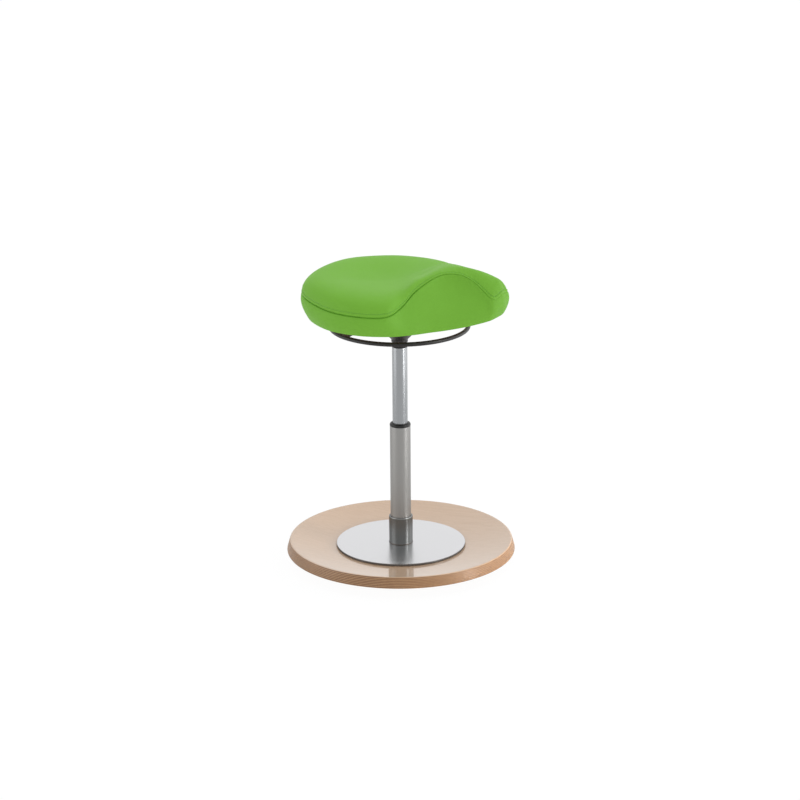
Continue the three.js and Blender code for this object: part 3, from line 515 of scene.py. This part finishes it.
def wire_ring(radius, wire, height, turns=240, sides=24):
    """A ring of round wire: the wire's circle is carried round the column at the ring's radius."""
    turn = np.linspace(0, 2 * np.pi, turns, endpoint=False)[:, None]
    side = np.linspace(0, 2 * np.pi, sides, endpoint=False)[None, :]
    reach = radius + wire * np.cos(side)
    level = height + wire * np.sin(side) + 0 * turn
    points = np.stack([reach * np.cos(turn), reach * np.sin(turn), level], -1)
    return points.reshape(-1, 3), net(turns, sides)


ring = piece("wire_lever_ring", *wire_ring(ring_radius, wire_radius, ring_middle), "lever", powder)
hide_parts("lever_ring")

# Lever spider
# One black moulding: a hub ring that tips under the mounting plate, a bridge across it that presses the
# valve pin, and two flat spokes that widen to hold the ring.

hub_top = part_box("lever_spider")[1].z * 1000
hub_outer, hub_inner, hub_thickness = 38.0, 20.5, 4.0


def spoke(angle, steps=60, sides=40):
    """A flat bar carried outwards and down to the ring. Its half width grows from 7.5 mm by a smooth step
    to 23 mm at the ring, its section is a rounded rectangle of power 6, and its ends close to a line."""
    u = np.linspace(0, 1, steps)[:, None]
    r = 31 + u * (ring_radius - 31)
    fall = smooth(np.clip((r - 34) / (ring_radius - 26 - 34), 0, 1))
    middle = hub_top - hub_thickness / 2 + fall * (ring_middle + 1.2 - hub_top + hub_thickness / 2)
    spread = np.clip((r - (ring_radius - 34)) / 30, 0, 1)
    half = 7.5 + 15.5 * spread**2.6
    shut = np.sqrt(np.clip(1 - (2 * u - 1) ** 40, 0, 1))
    turn = np.linspace(0, 2 * np.pi, sides, endpoint=False)[None, :]
    c, s = np.cos(turn), np.sin(turn)
    size = rounded_square(c, s, 6)
    across = half * c * size * shut
    z = middle + hub_thickness / 2 * shut * s * size
    curl = np.sqrt(np.maximum(r**2 - across**2, 1))
    reach = np.where(r > ring_radius - 34, curl * spread + r * (1 - spread), r)
    return in_plan(reach, across, z, angle).reshape(-1, 3), net(steps, sides, ring=False)


hub_low = hub_top - hub_thickness
hub_outline = outline([
    (hub_inner, hub_low, 0.6), (hub_outer, hub_low, 1.0),
    (hub_outer, hub_top, 1.0), (hub_inner, hub_top, 0.6)])
hub = turned(hub_outline, 96)


def bar(length, width, low, high, angle, steps=24, sides=32):
    """A straight bar through the column's axis with rounded long edges: a rounded rectangle of power 8 is
    carried along it and shrinks to nothing at both ends."""
    u = np.linspace(-1, 1, steps)[:, None]
    shut = np.sqrt(np.clip(1 - u**40, 0, 1))
    turn = np.linspace(0, 2 * np.pi, sides, endpoint=False)[None, :]
    c, s = np.cos(turn), np.sin(turn)
    size = rounded_square(c, s, 8)
    along = u * length / 2 + 0 * c
    across = width / 2 * c * size * shut
    z = (low + high) / 2 + (high - low) / 2 * s * size * shut
    return in_plan(along, across, z, angle).reshape(-1, 3), net(steps, sides, ring=False)


def gathered(parts):
    """Several sets of points and faces as one set."""
    starts = np.cumsum([0] + [len(p) for p, _ in parts[:-1]])
    faces = np.concatenate([f + s for (_, f), s in zip(parts, starts)])
    return np.concatenate([p for p, _ in parts]), faces


spider = piece("moulded_lever_spider", *gathered([
    hub, spoke(spoke_angle), spoke(spoke_angle + math.pi),
    bar(58.5, 12, hub_top - 6, hub_top - 0.05, spoke_angle)]), "lever", moulded)
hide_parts("lever_spider")

# Mounting plate
# Pressed steel plate with rounded corners, powder coated black, screwed up into the seat pan.

mount_low, mount_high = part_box("mount_plate")


def rounded_plate(half, low, high, edge=0.6, turns=240):
    """A flat plate with round corners. Its outline is a superellipse of power 7, and rows of that outline
    are carried out over the bottom, up the rounded edge and back over the top."""
    a = np.linspace(0, 2 * np.pi, turns, endpoint=False)
    c, s = np.cos(a), np.sin(a)
    size = rounded_square(c, s, 7)
    flat, round_in, round_up = 1 - edge / half, 1 - 0.3 * edge / half, 0.3 * edge
    rows = [(0, low), (0.5, low), (flat, low), (round_in, low + round_up), (1, low + edge),
            (1, high - edge), (round_in, high - round_up), (flat, high), (0.5, high), (0, high)]
    share, z = (column[:, None] for column in np.array(rows).T)
    points = np.stack([half * share * c * size, half * share * s * size, z + 0 * a], -1)
    return points.reshape(-1, 3), net(len(rows), turns, ring=False)


mount = piece("pressed_mount_plate", *rounded_plate(
    mount_high.x * 1000, mount_low.z * 1000, mount_high.z * 1000), "seat", powder)
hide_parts("mount_plate")

# Saddle form
# The moulded shape that the pan, the foam and the sewn cover share. Ribs run from the saddle's spine to
# the seam and down to the lower edge, at stations from the back round one side to the nose. A station's
# row gives spine place, seam place, seam offset, seam height, shoulder in, shoulder up, bulge under the
# seam, bulge over the edge, edge place and edge offset. Places are shares of the reach, offsets of the
# half width, and all the rest of the rise. The spine's pairs are places and heights over the hem. Both
# tables come from a fit of the seat's outline and seam, not from a few chosen dimensions.

reach, half_width, rise = 202.4, 175.4, 97.0
hem_height = mount_high.z * 1000 - 2.2
stations = np.array([
    [0.000, -0.850, 0.000, 0.453, 0.059, 0.613, 0.055, 0.093, -0.816, 0.000],
    [0.000, -0.744, 0.530, 0.452, 0.041, 0.593, 0.057, 0.087, -0.706, 0.485],
    [0.000, -0.399, 0.888, 0.404, 0.032, 0.595, 0.052, 0.092, -0.404, 0.835],
    [0.000, -0.078, 1.000, 0.389, 0.032, 0.521, 0.038, 0.088, -0.085, 0.937],
    [0.011, 0.191, 0.929, 0.393, 0.048, 0.458, 0.036, 0.093, 0.183, 0.876],
    [0.061, 0.266, 0.727, 0.482, 0.118, 0.356, 0.086, 0.076, 0.347, 0.749],
    [0.151, 0.324, 0.523, 0.691, 0.143, 0.261, 0.146, 0.083, 0.487, 0.599],
    [0.270, 0.399, 0.352, 0.838, 0.140, 0.138, 0.126, 0.083, 0.578, 0.527],
    [0.397, 0.470, 0.226, 0.918, 0.131, 0.052, 0.105, 0.083, 0.664, 0.461],
    [0.516, 0.560, 0.159, 0.936, 0.121, 0.026, 0.085, 0.084, 0.741, 0.403],
    [0.615, 0.664, 0.144, 0.906, 0.114, 0.008, 0.076, 0.084, 0.807, 0.348],
    [0.704, 0.767, 0.161, 0.817, 0.119, 0.013, 0.067, 0.085, 0.863, 0.297],
    [0.786, 0.861, 0.190, 0.675, 0.092, 0.095, 0.060, 0.087, 0.913, 0.246],
    [0.851, 0.957, 0.196, 0.532, 0.074, 0.154, 0.063, 0.089, 0.943, 0.194],
    [0.884, 0.998, 0.081, 0.587, 0.079, 0.206, 0.062, 0.092, 0.967, 0.074],
    [0.898, 1.000, 0.000, 0.587, 0.067, 0.216, 0.059, 0.091, 0.974, 0.000],
])
spine = np.array([
    [-0.346, 0.649], [0, 0.664], [0.222, 0.79], [0.42, 0.973],
    [0.568, 1.001], [0.741, 0.961], [0.889, 0.868], [0.988, 0.801]])


def station_row(u):
    """The stations' values at places u between them: a cubic through neighbouring rows, with the rows
    mirrored past both ends."""
    mirror = np.array([1, 1, -1, 1, 1, 1, 1, 1, 1, -1])
    rows = np.concatenate([stations[1:2] * mirror, stations, stations[-2:-1] * mirror])
    i = np.minimum(u.astype(int), len(stations) - 2)
    t = (u - i)[:, None]
    a, b, c, d = rows[i], rows[i + 1], rows[i + 2], rows[i + 3]
    low, high = (c - a) / 2, (d - b) / 2
    return (2 * b - 2 * c + low + high) * t**3 + (-3 * b + 3 * c - 2 * low - high) * t**2 + low * t + b


def spine_height(place):
    """Height of the saddle's spine over the hem, and its slope: a cubic between the spine's points whose
    slope at each point is the mean of the straight slopes beside it."""
    xs, ys = spine[:, 0] * reach, spine[:, 1] * rise
    steps = np.diff(ys) / np.diff(xs)
    slopes = np.concatenate([steps[:1], (steps[:-1] + steps[1:]) / 2, steps[-1:]])
    i = np.clip(np.searchsorted(xs, place, side="right") - 1, 0, len(xs) - 2)
    span = xs[i + 1] - xs[i]
    t = (place - xs[i]) / span
    a, b, m, n = ys[i], ys[i + 1], slopes[i] * span, slopes[i + 1] * span
    height = a + m * t + (3 * (b - a) - 2 * m - n) * t**2 + (2 * (a - b) + m + n) * t**3
    return height, (m + 2 * (3 * (b - a) - 2 * m - n) * t + 3 * (2 * (a - b) + m + n) * t**2) / span


nose_kick, kick_start, kick_length = 16.1, 70, 126


def kick(place):
    """How far the pan bends up under the nose: the square of the share of the way into the bend."""
    return nose_kick * np.clip((place - kick_start) / kick_length, 0, None) ** 2


crown_hold = 0.45
bulge_share = 0.33


def ribs(u):
    """Control points of both curves of each rib: from the spine over the shoulder to the seam, and from
    the seam over two bulges to the lower edge. Also the spine's slope and the outward way at the edge."""
    v = station_row(u)
    i = u.astype(int)
    behind, ahead = stations[i, 0], stations[np.minimum(i + 1, len(stations) - 1), 0]
    h = np.clip(v[:, 0], behind, ahead) * reach
    s, w = v[:, 1] * reach, v[:, 2] * half_width
    z, inwards, upwards, high_bulge, low_bulge = (v[:, 3:8] * rise).T
    bs, bw = v[:, 8] * reach, v[:, 9] * half_width
    top_height, slope = spine_height(h)
    start = np.stack([0 * h, -h, hem_height + top_height], -1)
    seam = np.stack([-w, -s, hem_height + z], -1)
    edge = np.stack([-bw, -bs, hem_height + kick(bs)], -1)
    out_way = (seam - start) * [1, 1, 0]
    hold = start + crown_hold * out_way
    hold[:, 2] = start[:, 2] + slope * crown_hold * (s - h)
    out_way = unit(out_way)
    edge_way = unit((edge - start) * [1, 1, 0])
    shoulder = seam - out_way * inwards[:, None]
    shoulder[:, 2] = seam[:, 2] + upwards
    fall = seam[:, 2] - edge[:, 2]
    bulge_a = seam + out_way * high_bulge[:, None]
    bulge_a[:, 2] = seam[:, 2] - bulge_share * fall
    bulge_b = edge + edge_way * low_bulge[:, None]
    bulge_b[:, 2] = edge[:, 2] + bulge_share * fall
    return (start, hold, shoulder, seam), (seam, bulge_a, bulge_b, edge), slope, edge_way


def curve(points, t):
    """Points at shares t of cubic Bezier curves, as a grid of curves by shares."""
    a, b, c, d = (p[:, None, :] for p in points)
    t = t[None, :, None]
    return (1 - t) ** 3 * a + 3 * (1 - t) ** 2 * t * b + 3 * (1 - t) * t**2 * c + t**3 * d


def both_sides(grid):
    """One side's ribs and their mirror for the other side, so that the ribs go once round the seat."""
    return np.concatenate([grid, grid[-2:0:-1] * [-1, 1, 1]])


columns_per_station = 16
u_places = np.linspace(0, len(stations) - 1, (len(stations) - 1) * columns_per_station + 1)
top_curves, band_curves, spine_slope, edge_ways = ribs(u_places)
top_count, band_count = 72, 50
top_shares = 1 - (1 - np.linspace(0, 1, top_count)) ** 2.2
band_shares = np.linspace(0, 1, band_count) ** 1.8
top_grid = both_sides(curve(top_curves, top_shares))
band_grid = both_sides(curve(band_curves, band_shares))


def outward(grid):
    """Unit normals of a grid of points that goes round the seat: the steps down a rib crossed with the
    steps from rib to rib, turned to point away from the middle of the seat."""
    along = np.roll(grid, -1, 0) - np.roll(grid, 1, 0)
    down = np.gradient(grid, axis=1)
    n = np.cross(down, along)
    n /= np.maximum(np.linalg.norm(n, axis=-1), 1e-9)[..., None]
    middle = np.array([0, -20, hem_height + 20])
    flip = np.sign(np.sum(n[:, grid.shape[1] // 2] * (grid[:, grid.shape[1] // 2] - middle), -1))
    return n * flip[:, None, None]


top_normal, band_normal = outward(top_grid), outward(band_grid)
spine_normal = unit(np.stack([0 * spine_slope, spine_slope, 1 + 0 * spine_slope], -1))
top_normal[:, 0] = both_sides(spine_normal[:, None])[:, 0]
seam_normal = unit(top_normal[:, -1] + band_normal[:, 0])


def run(grid):
    """Length along each rib from its first point, in millimetres."""
    steps = np.linalg.norm(np.diff(grid, axis=1), axis=-1)
    return np.concatenate([np.zeros((len(grid), 1)), np.cumsum(steps, 1)], 1)


top_run = run(top_grid[:, ::-1])[:, ::-1]
band_run = run(band_grid)
seam_steps = np.linalg.norm(np.roll(band_grid[:, 0], -1, 0) - band_grid[:, 0], axis=1)
seam_run = np.concatenate([[0], np.cumsum(seam_steps)[:-1]])

# Sewn cover
# Green leatherette in two panels: a top and a side band, sewn inside out along the seam that climbs over
# the thighs to the ridge of the saddle, turned, and topstitched through the top to hold the seam flat.

leather, tree, place = new_material("green_leatherette")
warp = put(tree, "ShaderNodeTexNoise", {"Vector": place, "Scale": 420.0, "Detail": 2.0})
bent = put(tree, "ShaderNodeMix", {"Factor": 0.0022}, data_type="VECTOR")
tree.links.new(place, bent.inputs[4])
tree.links.new(warp.outputs["Color"], bent.inputs[5])
pebble_sockets = {"Vector": bent.outputs[1], "Scale": 900.0}
pebble = put(tree, "ShaderNodeTexVoronoi", pebble_sockets, feature="DISTANCE_TO_EDGE")
crease = ranged(tree, pebble.outputs["Distance"], 0.0, 1.0, 0.0, 0.22)
pores = noise(tree, place, 2600.0, 3.0)
height = reckon(tree, "MULTIPLY_ADD", pores, 0.25, crease)
relief = bump(tree, height, 0.22, 0.0002)
cloud = noise(tree, place, 14.0, 3.0)
cloud_tone = ranged(tree, cloud, 0.0, 1.0, 0.3, 0.7)
tint = blend(tree, cloud_tone, "#7BB73D", "#7FBB41")
# Painted shade: the pebble grain's creases are painted a darker green, on top of their relief and their
# rougher finish.
crease_painted_shade = blend(tree, crease, "#73AD36", tint)
shine = ranged(tree, crease, 0.62, 0.46)
surface(tree, {
    "Base Color": crease_painted_shade, "Roughness": shine, "Normal": relief, "IOR": 1.4,
    "Specular IOR Level": 0.12})

cover_thickness = 1.2
stitch_from_seam, stitch_pitch, stitch_length, thread_radius = 6.5, 5.4, 3.9, 0.4
seam_depth, nose_seam_depth, seam_width = 2.0, 0.5, 1.15
nose_start, nose_blend = 160, 40
stitch_depth, stitch_width = 0.9, 1.3
roll_height, roll_width = 0.45, 1.7
pucker_heights, pucker_lengths, pucker_shift = (0.22, 0.16), (11.3, 17.9), 1.3
lobe_start, lobe_end, lobe_blend = 0.3, 7, 1.8
fullness_height, fullness_from_seam = 3.0, 12
seam_gap = 0.12


def bell(distance, centre, width):
    """A bell over distance, one high at its centre and down to 1/e at its width from there."""
    return np.exp(-(((distance - centre) / width) ** 2))


def seam_pull(distance):
    """How deep the cover is drawn in near the seam: a bell of the distance from it, a quarter as deep
    where the seam crosses the nose."""
    over_nose = np.clip((-band_grid[:, 0, 1] - nose_start) / nose_blend, 0, 1)
    return (seam_depth - (seam_depth - nose_seam_depth) * over_nose[:, None]) * bell(distance, 0, seam_width)


# The top is also drawn in under the stitches, rolls up between them and the seam, and is puckered in two
# long waves beyond them. On the two lobes of the seat, from the back to the seventh station, it is
# stuffed fuller. It stands up most at 12 mm from the seam.
lobe_place = np.concatenate([u_places, u_places[-2:0:-1]])
on_lobe = np.clip((lobe_place - lobe_start) / lobe_blend, 0, 1)
on_lobe = on_lobe * np.clip((lobe_end - lobe_place) / lobe_blend, 0, 1)
fullness_run = top_run / fullness_from_seam
fullness = fullness_height * smooth(on_lobe)[:, None] * fullness_run * np.exp(1 - fullness_run)
pucker = pucker_heights[0] * np.sin(2 * np.pi * seam_run / pucker_lengths[0])
pucker += pucker_heights[1] * np.sin(2 * np.pi * seam_run / pucker_lengths[1] + pucker_shift)
stitch_dent = stitch_depth * bell(top_run, stitch_from_seam, stitch_width)
roll = -roll_height * bell(top_run, stitch_from_seam / 2, roll_width)
top_pull = seam_pull(top_run) + stitch_dent + roll - fullness
top_pull -= pucker[:, None] * bell(top_run, 11, 4)
band_pull = seam_pull(band_run) - 0.7 * pucker[:, None] * bell(band_run, 5, 4)
near_top, near_band = bell(top_run, 0, 1.5)[..., None], bell(band_run, 0, 1.5)[..., None]
top_way = top_normal * (1 - near_top) + seam_normal[:, None] * near_top
band_way = band_normal * (1 - near_band) + seam_normal[:, None] * near_band
top_outside = top_grid - top_way * top_pull[..., None]
band_outside = band_grid - band_way * band_pull[..., None]
top_outside[:, -1, 2] += seam_gap
band_outside[:, 0, 2] -= seam_gap


def layered(grid, ring=False):
    """A grid of ribs as rows of points round the seat, with the faces between them."""
    rows = grid.transpose(1, 0, 2)
    return rows.reshape(-1, 3), net(rows.shape[0], rows.shape[1], ring)


def shell(outside, inside, ring):
    """A skin with a thickness: the outer rows, then the inner rows back again, joined round the seat."""
    return layered(np.concatenate([outside, inside[:, ::-1]], 1), ring)


inner_rows = np.unique(np.concatenate([np.arange(0, top_count, 5), [top_count - 1]]))
top_inside = (top_outside - top_way * cover_thickness)[:, inner_rows]
top_inside[:, 0] = top_grid[:, 0] - top_normal[:, 0] * cover_thickness
cover_top = piece("sewn_cover_top", *shell(top_outside, top_inside, False), "seat", leather, 60)
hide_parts("cover_top")

band_rows = np.unique(np.concatenate([np.arange(0, band_count, 4), [band_count - 1]]))
edge = band_outside[:, -1]
inward = both_sides(-edge_ways[:, None])[:, 0]
hem_steps = np.array([0.8, 3, 8, 13, 18])[None, :, None]
hem = edge[:, None] + inward[:, None] * hem_steps
hem[..., 2] = hem_height + kick(-hem[..., 1]) - 0.25
hem_inside = hem[:, ::-1][:, :4] + [0, 0, cover_thickness]
band_inside = (band_outside - band_way * cover_thickness)[:, band_rows]
band_inside[:, -1] = edge + inward * cover_thickness + [0, 0, cover_thickness]
band_skin = np.concatenate([band_outside, hem], 1)
band_back = np.concatenate([band_inside, hem_inside[:, ::-1]], 1)
cover_band = piece("sewn_cover_band", *shell(band_skin, band_back, True), "seat", leather, 60)
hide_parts("cover_band")

# Topstitch
# Polyester thread in the cover's own green, lying in a row of short dents along the seam's upper side.

thread, tree, place = new_material("green_polyester_thread")
ply = noise(tree, place, 3000.0, 2.0)
tint = blend(tree, ply, "#55922B", "#6DAE3C")
surface(tree, {"Base Color": tint, "Roughness": 0.5})


def level_line(grid, lengths, distance):
    """The line on a grid at one distance along every rib, by straight steps between its points."""
    after = np.argmax(lengths >= distance, axis=1)
    rib = np.arange(len(grid))
    a, b = lengths[rib, after - 1], lengths[rib, after]
    share = ((distance - a) / (b - a))[:, None]
    return grid[rib, after - 1] * (1 - share) + grid[rib, after] * share


def stitches(line, normal, pitch, length, thickness, rings=8, sides=6):
    """Threads laid along a closed line: each follows the line for its length, bows out in its middle by
    its own thickness, sinks at both ends, and has a round section that thins towards them."""
    steps = np.linalg.norm(np.roll(line, -1, 0) - line, axis=1)
    total = steps.sum()
    lengths = np.concatenate([[0], np.cumsum(steps)])
    closed, closed_normal = np.concatenate([line, line[:1]]), np.concatenate([normal, normal[:1]])
    count = int(total // pitch)
    share = np.linspace(0, 1, rings)
    at = (np.arange(count)[:, None] * total / count + share[None, :] * length) % total

    def sample(values, where):
        return np.stack([np.interp(where, lengths, values[:, k]) for k in range(3)], -1)

    middle, up = sample(closed, at), sample(closed_normal, at)
    ahead = unit(sample(closed, (at + 0.3) % total) - middle)
    side = unit(np.cross(ahead, up))
    up = np.cross(side, ahead)
    bow = (4 * share * (1 - share))[None, :, None]
    middle = middle + up * thickness * (1.1 * bow - 0.75)
    size = thickness * np.sqrt(np.clip(1 - (2 * share - 1) ** 4, 0.02, 1))[None, :, None, None]
    turn = np.linspace(0, 2 * np.pi, sides, endpoint=False)[None, None, :, None]
    ring = middle[:, :, None] + size * (np.cos(turn) * side[:, :, None] + np.sin(turn) * up[:, :, None])
    ends = np.stack([middle[:, 0], middle[:, -1]], 1)
    first, last = (np.repeat(ends[:, k : k + 1, None], sides, 2) for k in (0, 1))
    points = np.concatenate([first, ring, last], 1)
    faces = net(rings + 2, sides, ring=False)
    offsets = np.arange(count)[:, None, None] * (rings + 2) * sides
    return points.reshape(-1, 3), (faces[None] + offsets).reshape(-1, 4)


stitch_line = level_line(top_outside[:, ::-1], top_run[:, ::-1], stitch_from_seam)
stitch_normal = level_line(top_normal[:, ::-1], top_run[:, ::-1], stitch_from_seam)
stitch_row = stitches(stitch_line, stitch_normal, stitch_pitch, stitch_length, thread_radius)
topstitch = piece("seam_topstitch", *stitch_row, "seat", thread, 80)

# Foam
# One block of cold-cure foam moulded to the saddle form, a little under the cover all round.

foam, tree, place = new_material("cold_cure_foam")
cells = put(tree, "ShaderNodeTexVoronoi", {"Vector": place, "Scale": 1300.0})
relief = bump(tree, cells.outputs["Distance"], 0.5, 0.0005)
surface(tree, {"Base Color": colour("#DDD3AB"), "Roughness": 0.95, "Normal": relief})

foam_rows = np.array([0, 8, 16, 24, 32, 40, 46, 52, 58])
foam_band_rows = np.array([16, 22, 28, 34])
sunk, sunk_at_seam, foam_bottom = 2.2, 5.6, 12.2
foam_top = (top_grid - top_normal * sunk)[:, foam_rows]
foam_seam = (top_grid[:, -1] - seam_normal * sunk_at_seam)[:, None]
foam_side = (band_grid - band_normal * sunk)[:, foam_band_rows]
floor_shares = np.array([1, 0.6, 0.0])[None, :, None]
starts = both_sides(top_curves[0][:, None])
rims = (edge + inward * 5)[:, None]
foam_floor = starts + (rims - starts) * floor_shares
foam_floor[..., 2] = hem_height + kick(-foam_floor[..., 1]) + foam_bottom
foam_grid = np.concatenate([foam_top, foam_seam, foam_side, foam_floor], 1)
foam_block = piece("moulded_foam_block", *layered(foam_grid), "seat", foam, 60)
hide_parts("seat_foam")

# Seat pan
# Pressed beech plywood, 8 mm thick, flat under the sitter and bent up under the nose. Its face is bare
# apart from a thin sealer, inside the border of cover that is stapled to it.

bare, tree, place = new_material("sealed_pressed_plywood")
grain_place = stretched(tree, place, (1.0, 0.04, 1.0))
grain = noise(tree, grain_place, 230.0, 6.0, 0.65)
tint = blend(tree, grain, "#A98560", "#D2B48E")
relief = bump(tree, grain, 0.12, 0.0004)
surface(tree, {"Base Color": tint, "Roughness": 0.6, "Normal": relief})

pan_shares = np.array([0, 0.3, 0.6, 0.85, 1, 1, 0.85, 0.6, 0.3, 0])
pan_bottom, pan_top = 2.5, 10.5
pan_levels = np.array([pan_bottom] * 5 + [pan_top] * 5)
pan_rim = (edge + inward * 3)[:, None]
pan_grid = starts + (pan_rim - starts) * pan_shares[None, :, None]
pan_grid[..., 2] = hem_height + kick(-pan_grid[..., 1]) + pan_levels[None, :]
pan = piece("pressed_seat_pan", *layered(pan_grid), "seat", bare)
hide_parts("seat_pan")

# Staples
# Galvanised wire staples that hold the turned-in hem of the cover to the pan, one every 22 mm or so.

zinc, tree, place = new_material("zinc_plated_steel")
spangle = put(tree, "ShaderNodeTexVoronoi", {"Vector": place, "Scale": 700.0})
tint = blend(tree, spangle.outputs["Color"], "#A8ABAE", "#C2C5C8")
tone = ranged(tree, spangle.outputs["Distance"], 0.3, 0.45)
surface(tree, {"Base Color": tint, "Metallic": 1.0, "Roughness": tone})

staple_line = edge + inward * 11
staple_line[:, 2] = hem_height + kick(-staple_line[:, 1]) - 0.3
down = np.tile([0.0, 0.0, -1.0], (len(staple_line), 1))
staple_pitch, staple_length, staple_wire = 22, 10, 0.4
staple_row = stitches(staple_line, down, staple_pitch, staple_length, staple_wire)
staples = piece("hem_staples", *staple_row, "seat", zinc, 80)

# Fasteners, bearing and the gas spring's inner parts
# Small turned and pressed parts that are mostly hidden. They keep their modelled shapes.

fastener_kinds = ("base_screw", "base_washer", "seat_screw", "tee_nut")
fasteners = [f"{kind}_{i}" for kind in fastener_kinds for i in range(1, 5)]
bearing = ["standpipe_floor", "bearing_washer_low", "bearing_washer_high", "ball_cage"]
finishes = {
    zinc: bearing + ["rod_clip", "piston", "valve_body"] + fasteners,
    satin: ["piston_rod", "valve_pin"],
    moulded: ["rod_gland"],
    rubber: ["bump_stop"],
}
for material, names in finishes.items():
    for name in names:
        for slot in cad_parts[name].material_slots:
            slot.material = material

# Studio
# A pale floor in white surroundings, with a wide soft lamp overhead, a small one low on the right, and
# three upright boxes that show in gloss.

camera_azimuth = -68.0
camera_pitch = 17.5
camera_distance = 4.7
camera_roll = 0.0071
aim = np.array([0, 0, 0.308])
az, pitch = math.radians(camera_azimuth), math.radians(camera_pitch)
right = np.array([math.cos(az), math.sin(az), 0])
toward = np.array([math.sin(az), -math.cos(az), 0])
back = toward * math.cos(pitch) + np.array([0, 0, math.sin(pitch)])
up = np.cross(back, right)
camera_data = bpy.data.cameras.new("camera")
camera_data.sensor_width = 36.0
focal_pixels, picture_pixels = 2568.0, 800.0
camera_data.lens = focal_pixels * camera_data.sensor_width / picture_pixels
camera = bpy.data.objects.new("camera", camera_data)
bpy.context.scene.collection.objects.link(camera)
camera_right, camera_up = unit(right - camera_roll * up), unit(up + camera_roll * right)


def stand(made, x, y, z, place):
    """Puts an object at a place with its three axes along x, y and z."""
    axes = np.eye(4)
    axes[:3] = np.stack([x, y, z, place], -1)
    made.matrix_world = Matrix(axes.tolist())


stand(camera, camera_right, camera_up, back, aim + back * camera_distance)
bpy.context.scene.camera = camera


def lamp(name, place, size, power, height=0.3, spread=180, for_gloss=False):
    """A soft light that faces the column at a height, with its beam's spread in degrees. It lights either
    the matt surfaces or the glossy ones."""
    data = bpy.data.lights.new(name, "AREA")
    data.shape = "RECTANGLE"
    data.size, data.size_y = size
    data.energy = power
    data.spread = math.radians(spread)
    made = bpy.data.objects.new(name, data)
    bpy.context.scene.collection.objects.link(made)
    z = unit(np.asarray(place, float) - [0, 0, height])
    x = unit(np.cross([0, 0, 1.0], z))
    stand(made, x, np.cross(z, x), z, place)
    made.visible_camera = False
    made.visible_glossy = for_gloss
    made.visible_diffuse = not for_gloss


lamp("overhead", right * 0.7 - toward * 0.3 + [0, 0, 2.6], (1.8, 1.8), 2.5)
lamp("low_right", right * 1.3 + toward * 0.4 + [0, 0, 0.12], (0.5, 0.3), 0.75, 0.02, 36)

# Three upright boxes, at angles from the camera's side, that show as highlights on metal and lacquer.
box_distance, box_height, box_middle = 1.4, 1.4, 0.7
boxes = {"strip_right": (64, 0.3, 10.0), "box_right": (105, 1.0, 6.0), "box_left": (-78, 1.2, 6.0)}
for name, (degrees, width, power) in boxes.items():
    turn = math.radians(degrees)
    box_way = toward * math.cos(turn) + right * math.sin(turn)
    box_place = box_way * box_distance + [0, 0, box_middle]
    lamp(name, box_place, (width, box_height), power, box_middle, for_gloss=True)


def shows_white(tree):
    """1 for the rays to which the world and the floor are plain white: from the camera, in gloss and
    through glass. 0 for the rest, which light the matt surfaces."""
    rays = put(tree, "ShaderNodeLightPath")
    sharp = reckon(tree, "MAXIMUM", rays.outputs["Is Glossy Ray"], rays.outputs["Is Transmission Ray"])
    return reckon(tree, "MAXIMUM", rays.outputs["Is Camera Ray"], sharp)


# The world lights matt surfaces more from behind the stool, and more from the right.
world = bpy.data.worlds.new("white_studio")
bpy.context.scene.world = world
world.use_nodes = True
tree = world.node_tree
tree.nodes.clear()
way = put(tree, "ShaderNodeTexCoord").outputs["Generated"]
forth = put(tree, "ShaderNodeVectorMath", {0: way, 1: tuple(toward.tolist())}, operation="DOT_PRODUCT")
aside = put(tree, "ShaderNodeVectorMath", {0: way, 1: tuple(right.tolist())}, operation="DOT_PRODUCT")
behind = ranged(tree, forth.outputs["Value"], 1.2, 0.58, -1.0, 1.0)
from_right = ranged(tree, aside.outputs["Value"], 0.0, 0.5)
matt_light = reckon(tree, "ADD", behind, from_right)
surroundings = put(tree, "ShaderNodeBackground", {"Color": (0.96, 1.0, 1.04, 1), "Strength": matt_light})
white = put(tree, "ShaderNodeBackground", {"Color": (1, 1, 1, 1), "Strength": 1.0})
mixed = put(tree, "ShaderNodeMixShader", {
    0: shows_white(tree), 1: surroundings.outputs[0], 2: white.outputs[0]})
put(tree, "ShaderNodeOutputWorld", {"Surface": mixed.outputs[0]})

# The floor takes a faint shadow from its diffuse part, where it shows white.
floor_material, tree, place = new_material("white_studio_floor")
matt = put(tree, "ShaderNodeBsdfDiffuse", {"Color": (0.05, 0.05, 0.05, 1)})
glow = put(tree, "ShaderNodeEmission", {"Color": (1, 1, 1, 1), "Strength": 0.96})
shown = put(tree, "ShaderNodeAddShader", {0: matt.outputs[0], 1: glow.outputs[0]})
unseen = put(tree, "ShaderNodeBsdfDiffuse", {"Color": (0.94, 0.94, 0.94, 1)})
floor_mix = put(tree, "ShaderNodeMixShader", {
    0: shows_white(tree), 1: unseen.outputs[0], 2: shown.outputs[0]})
put(tree, "ShaderNodeOutputMaterial", {"Surface": floor_mix.outputs[0]})
floor_mesh = bpy.data.meshes.new("studio_floor")
floor_half = 30
floor_corners = [(x * floor_half, y * floor_half, 0) for x, y in ((-1, -1), (1, -1), (1, 1), (-1, 1))]
floor_mesh.from_pydata(floor_corners, [], [(0, 1, 2, 3)])
floor_mesh.materials.append(floor_material)
floor = bpy.data.objects.new("studio_floor", floor_mesh)
bpy.context.scene.collection.objects.link(floor)

bpy.context.scene.view_settings.view_transform = "Standard"
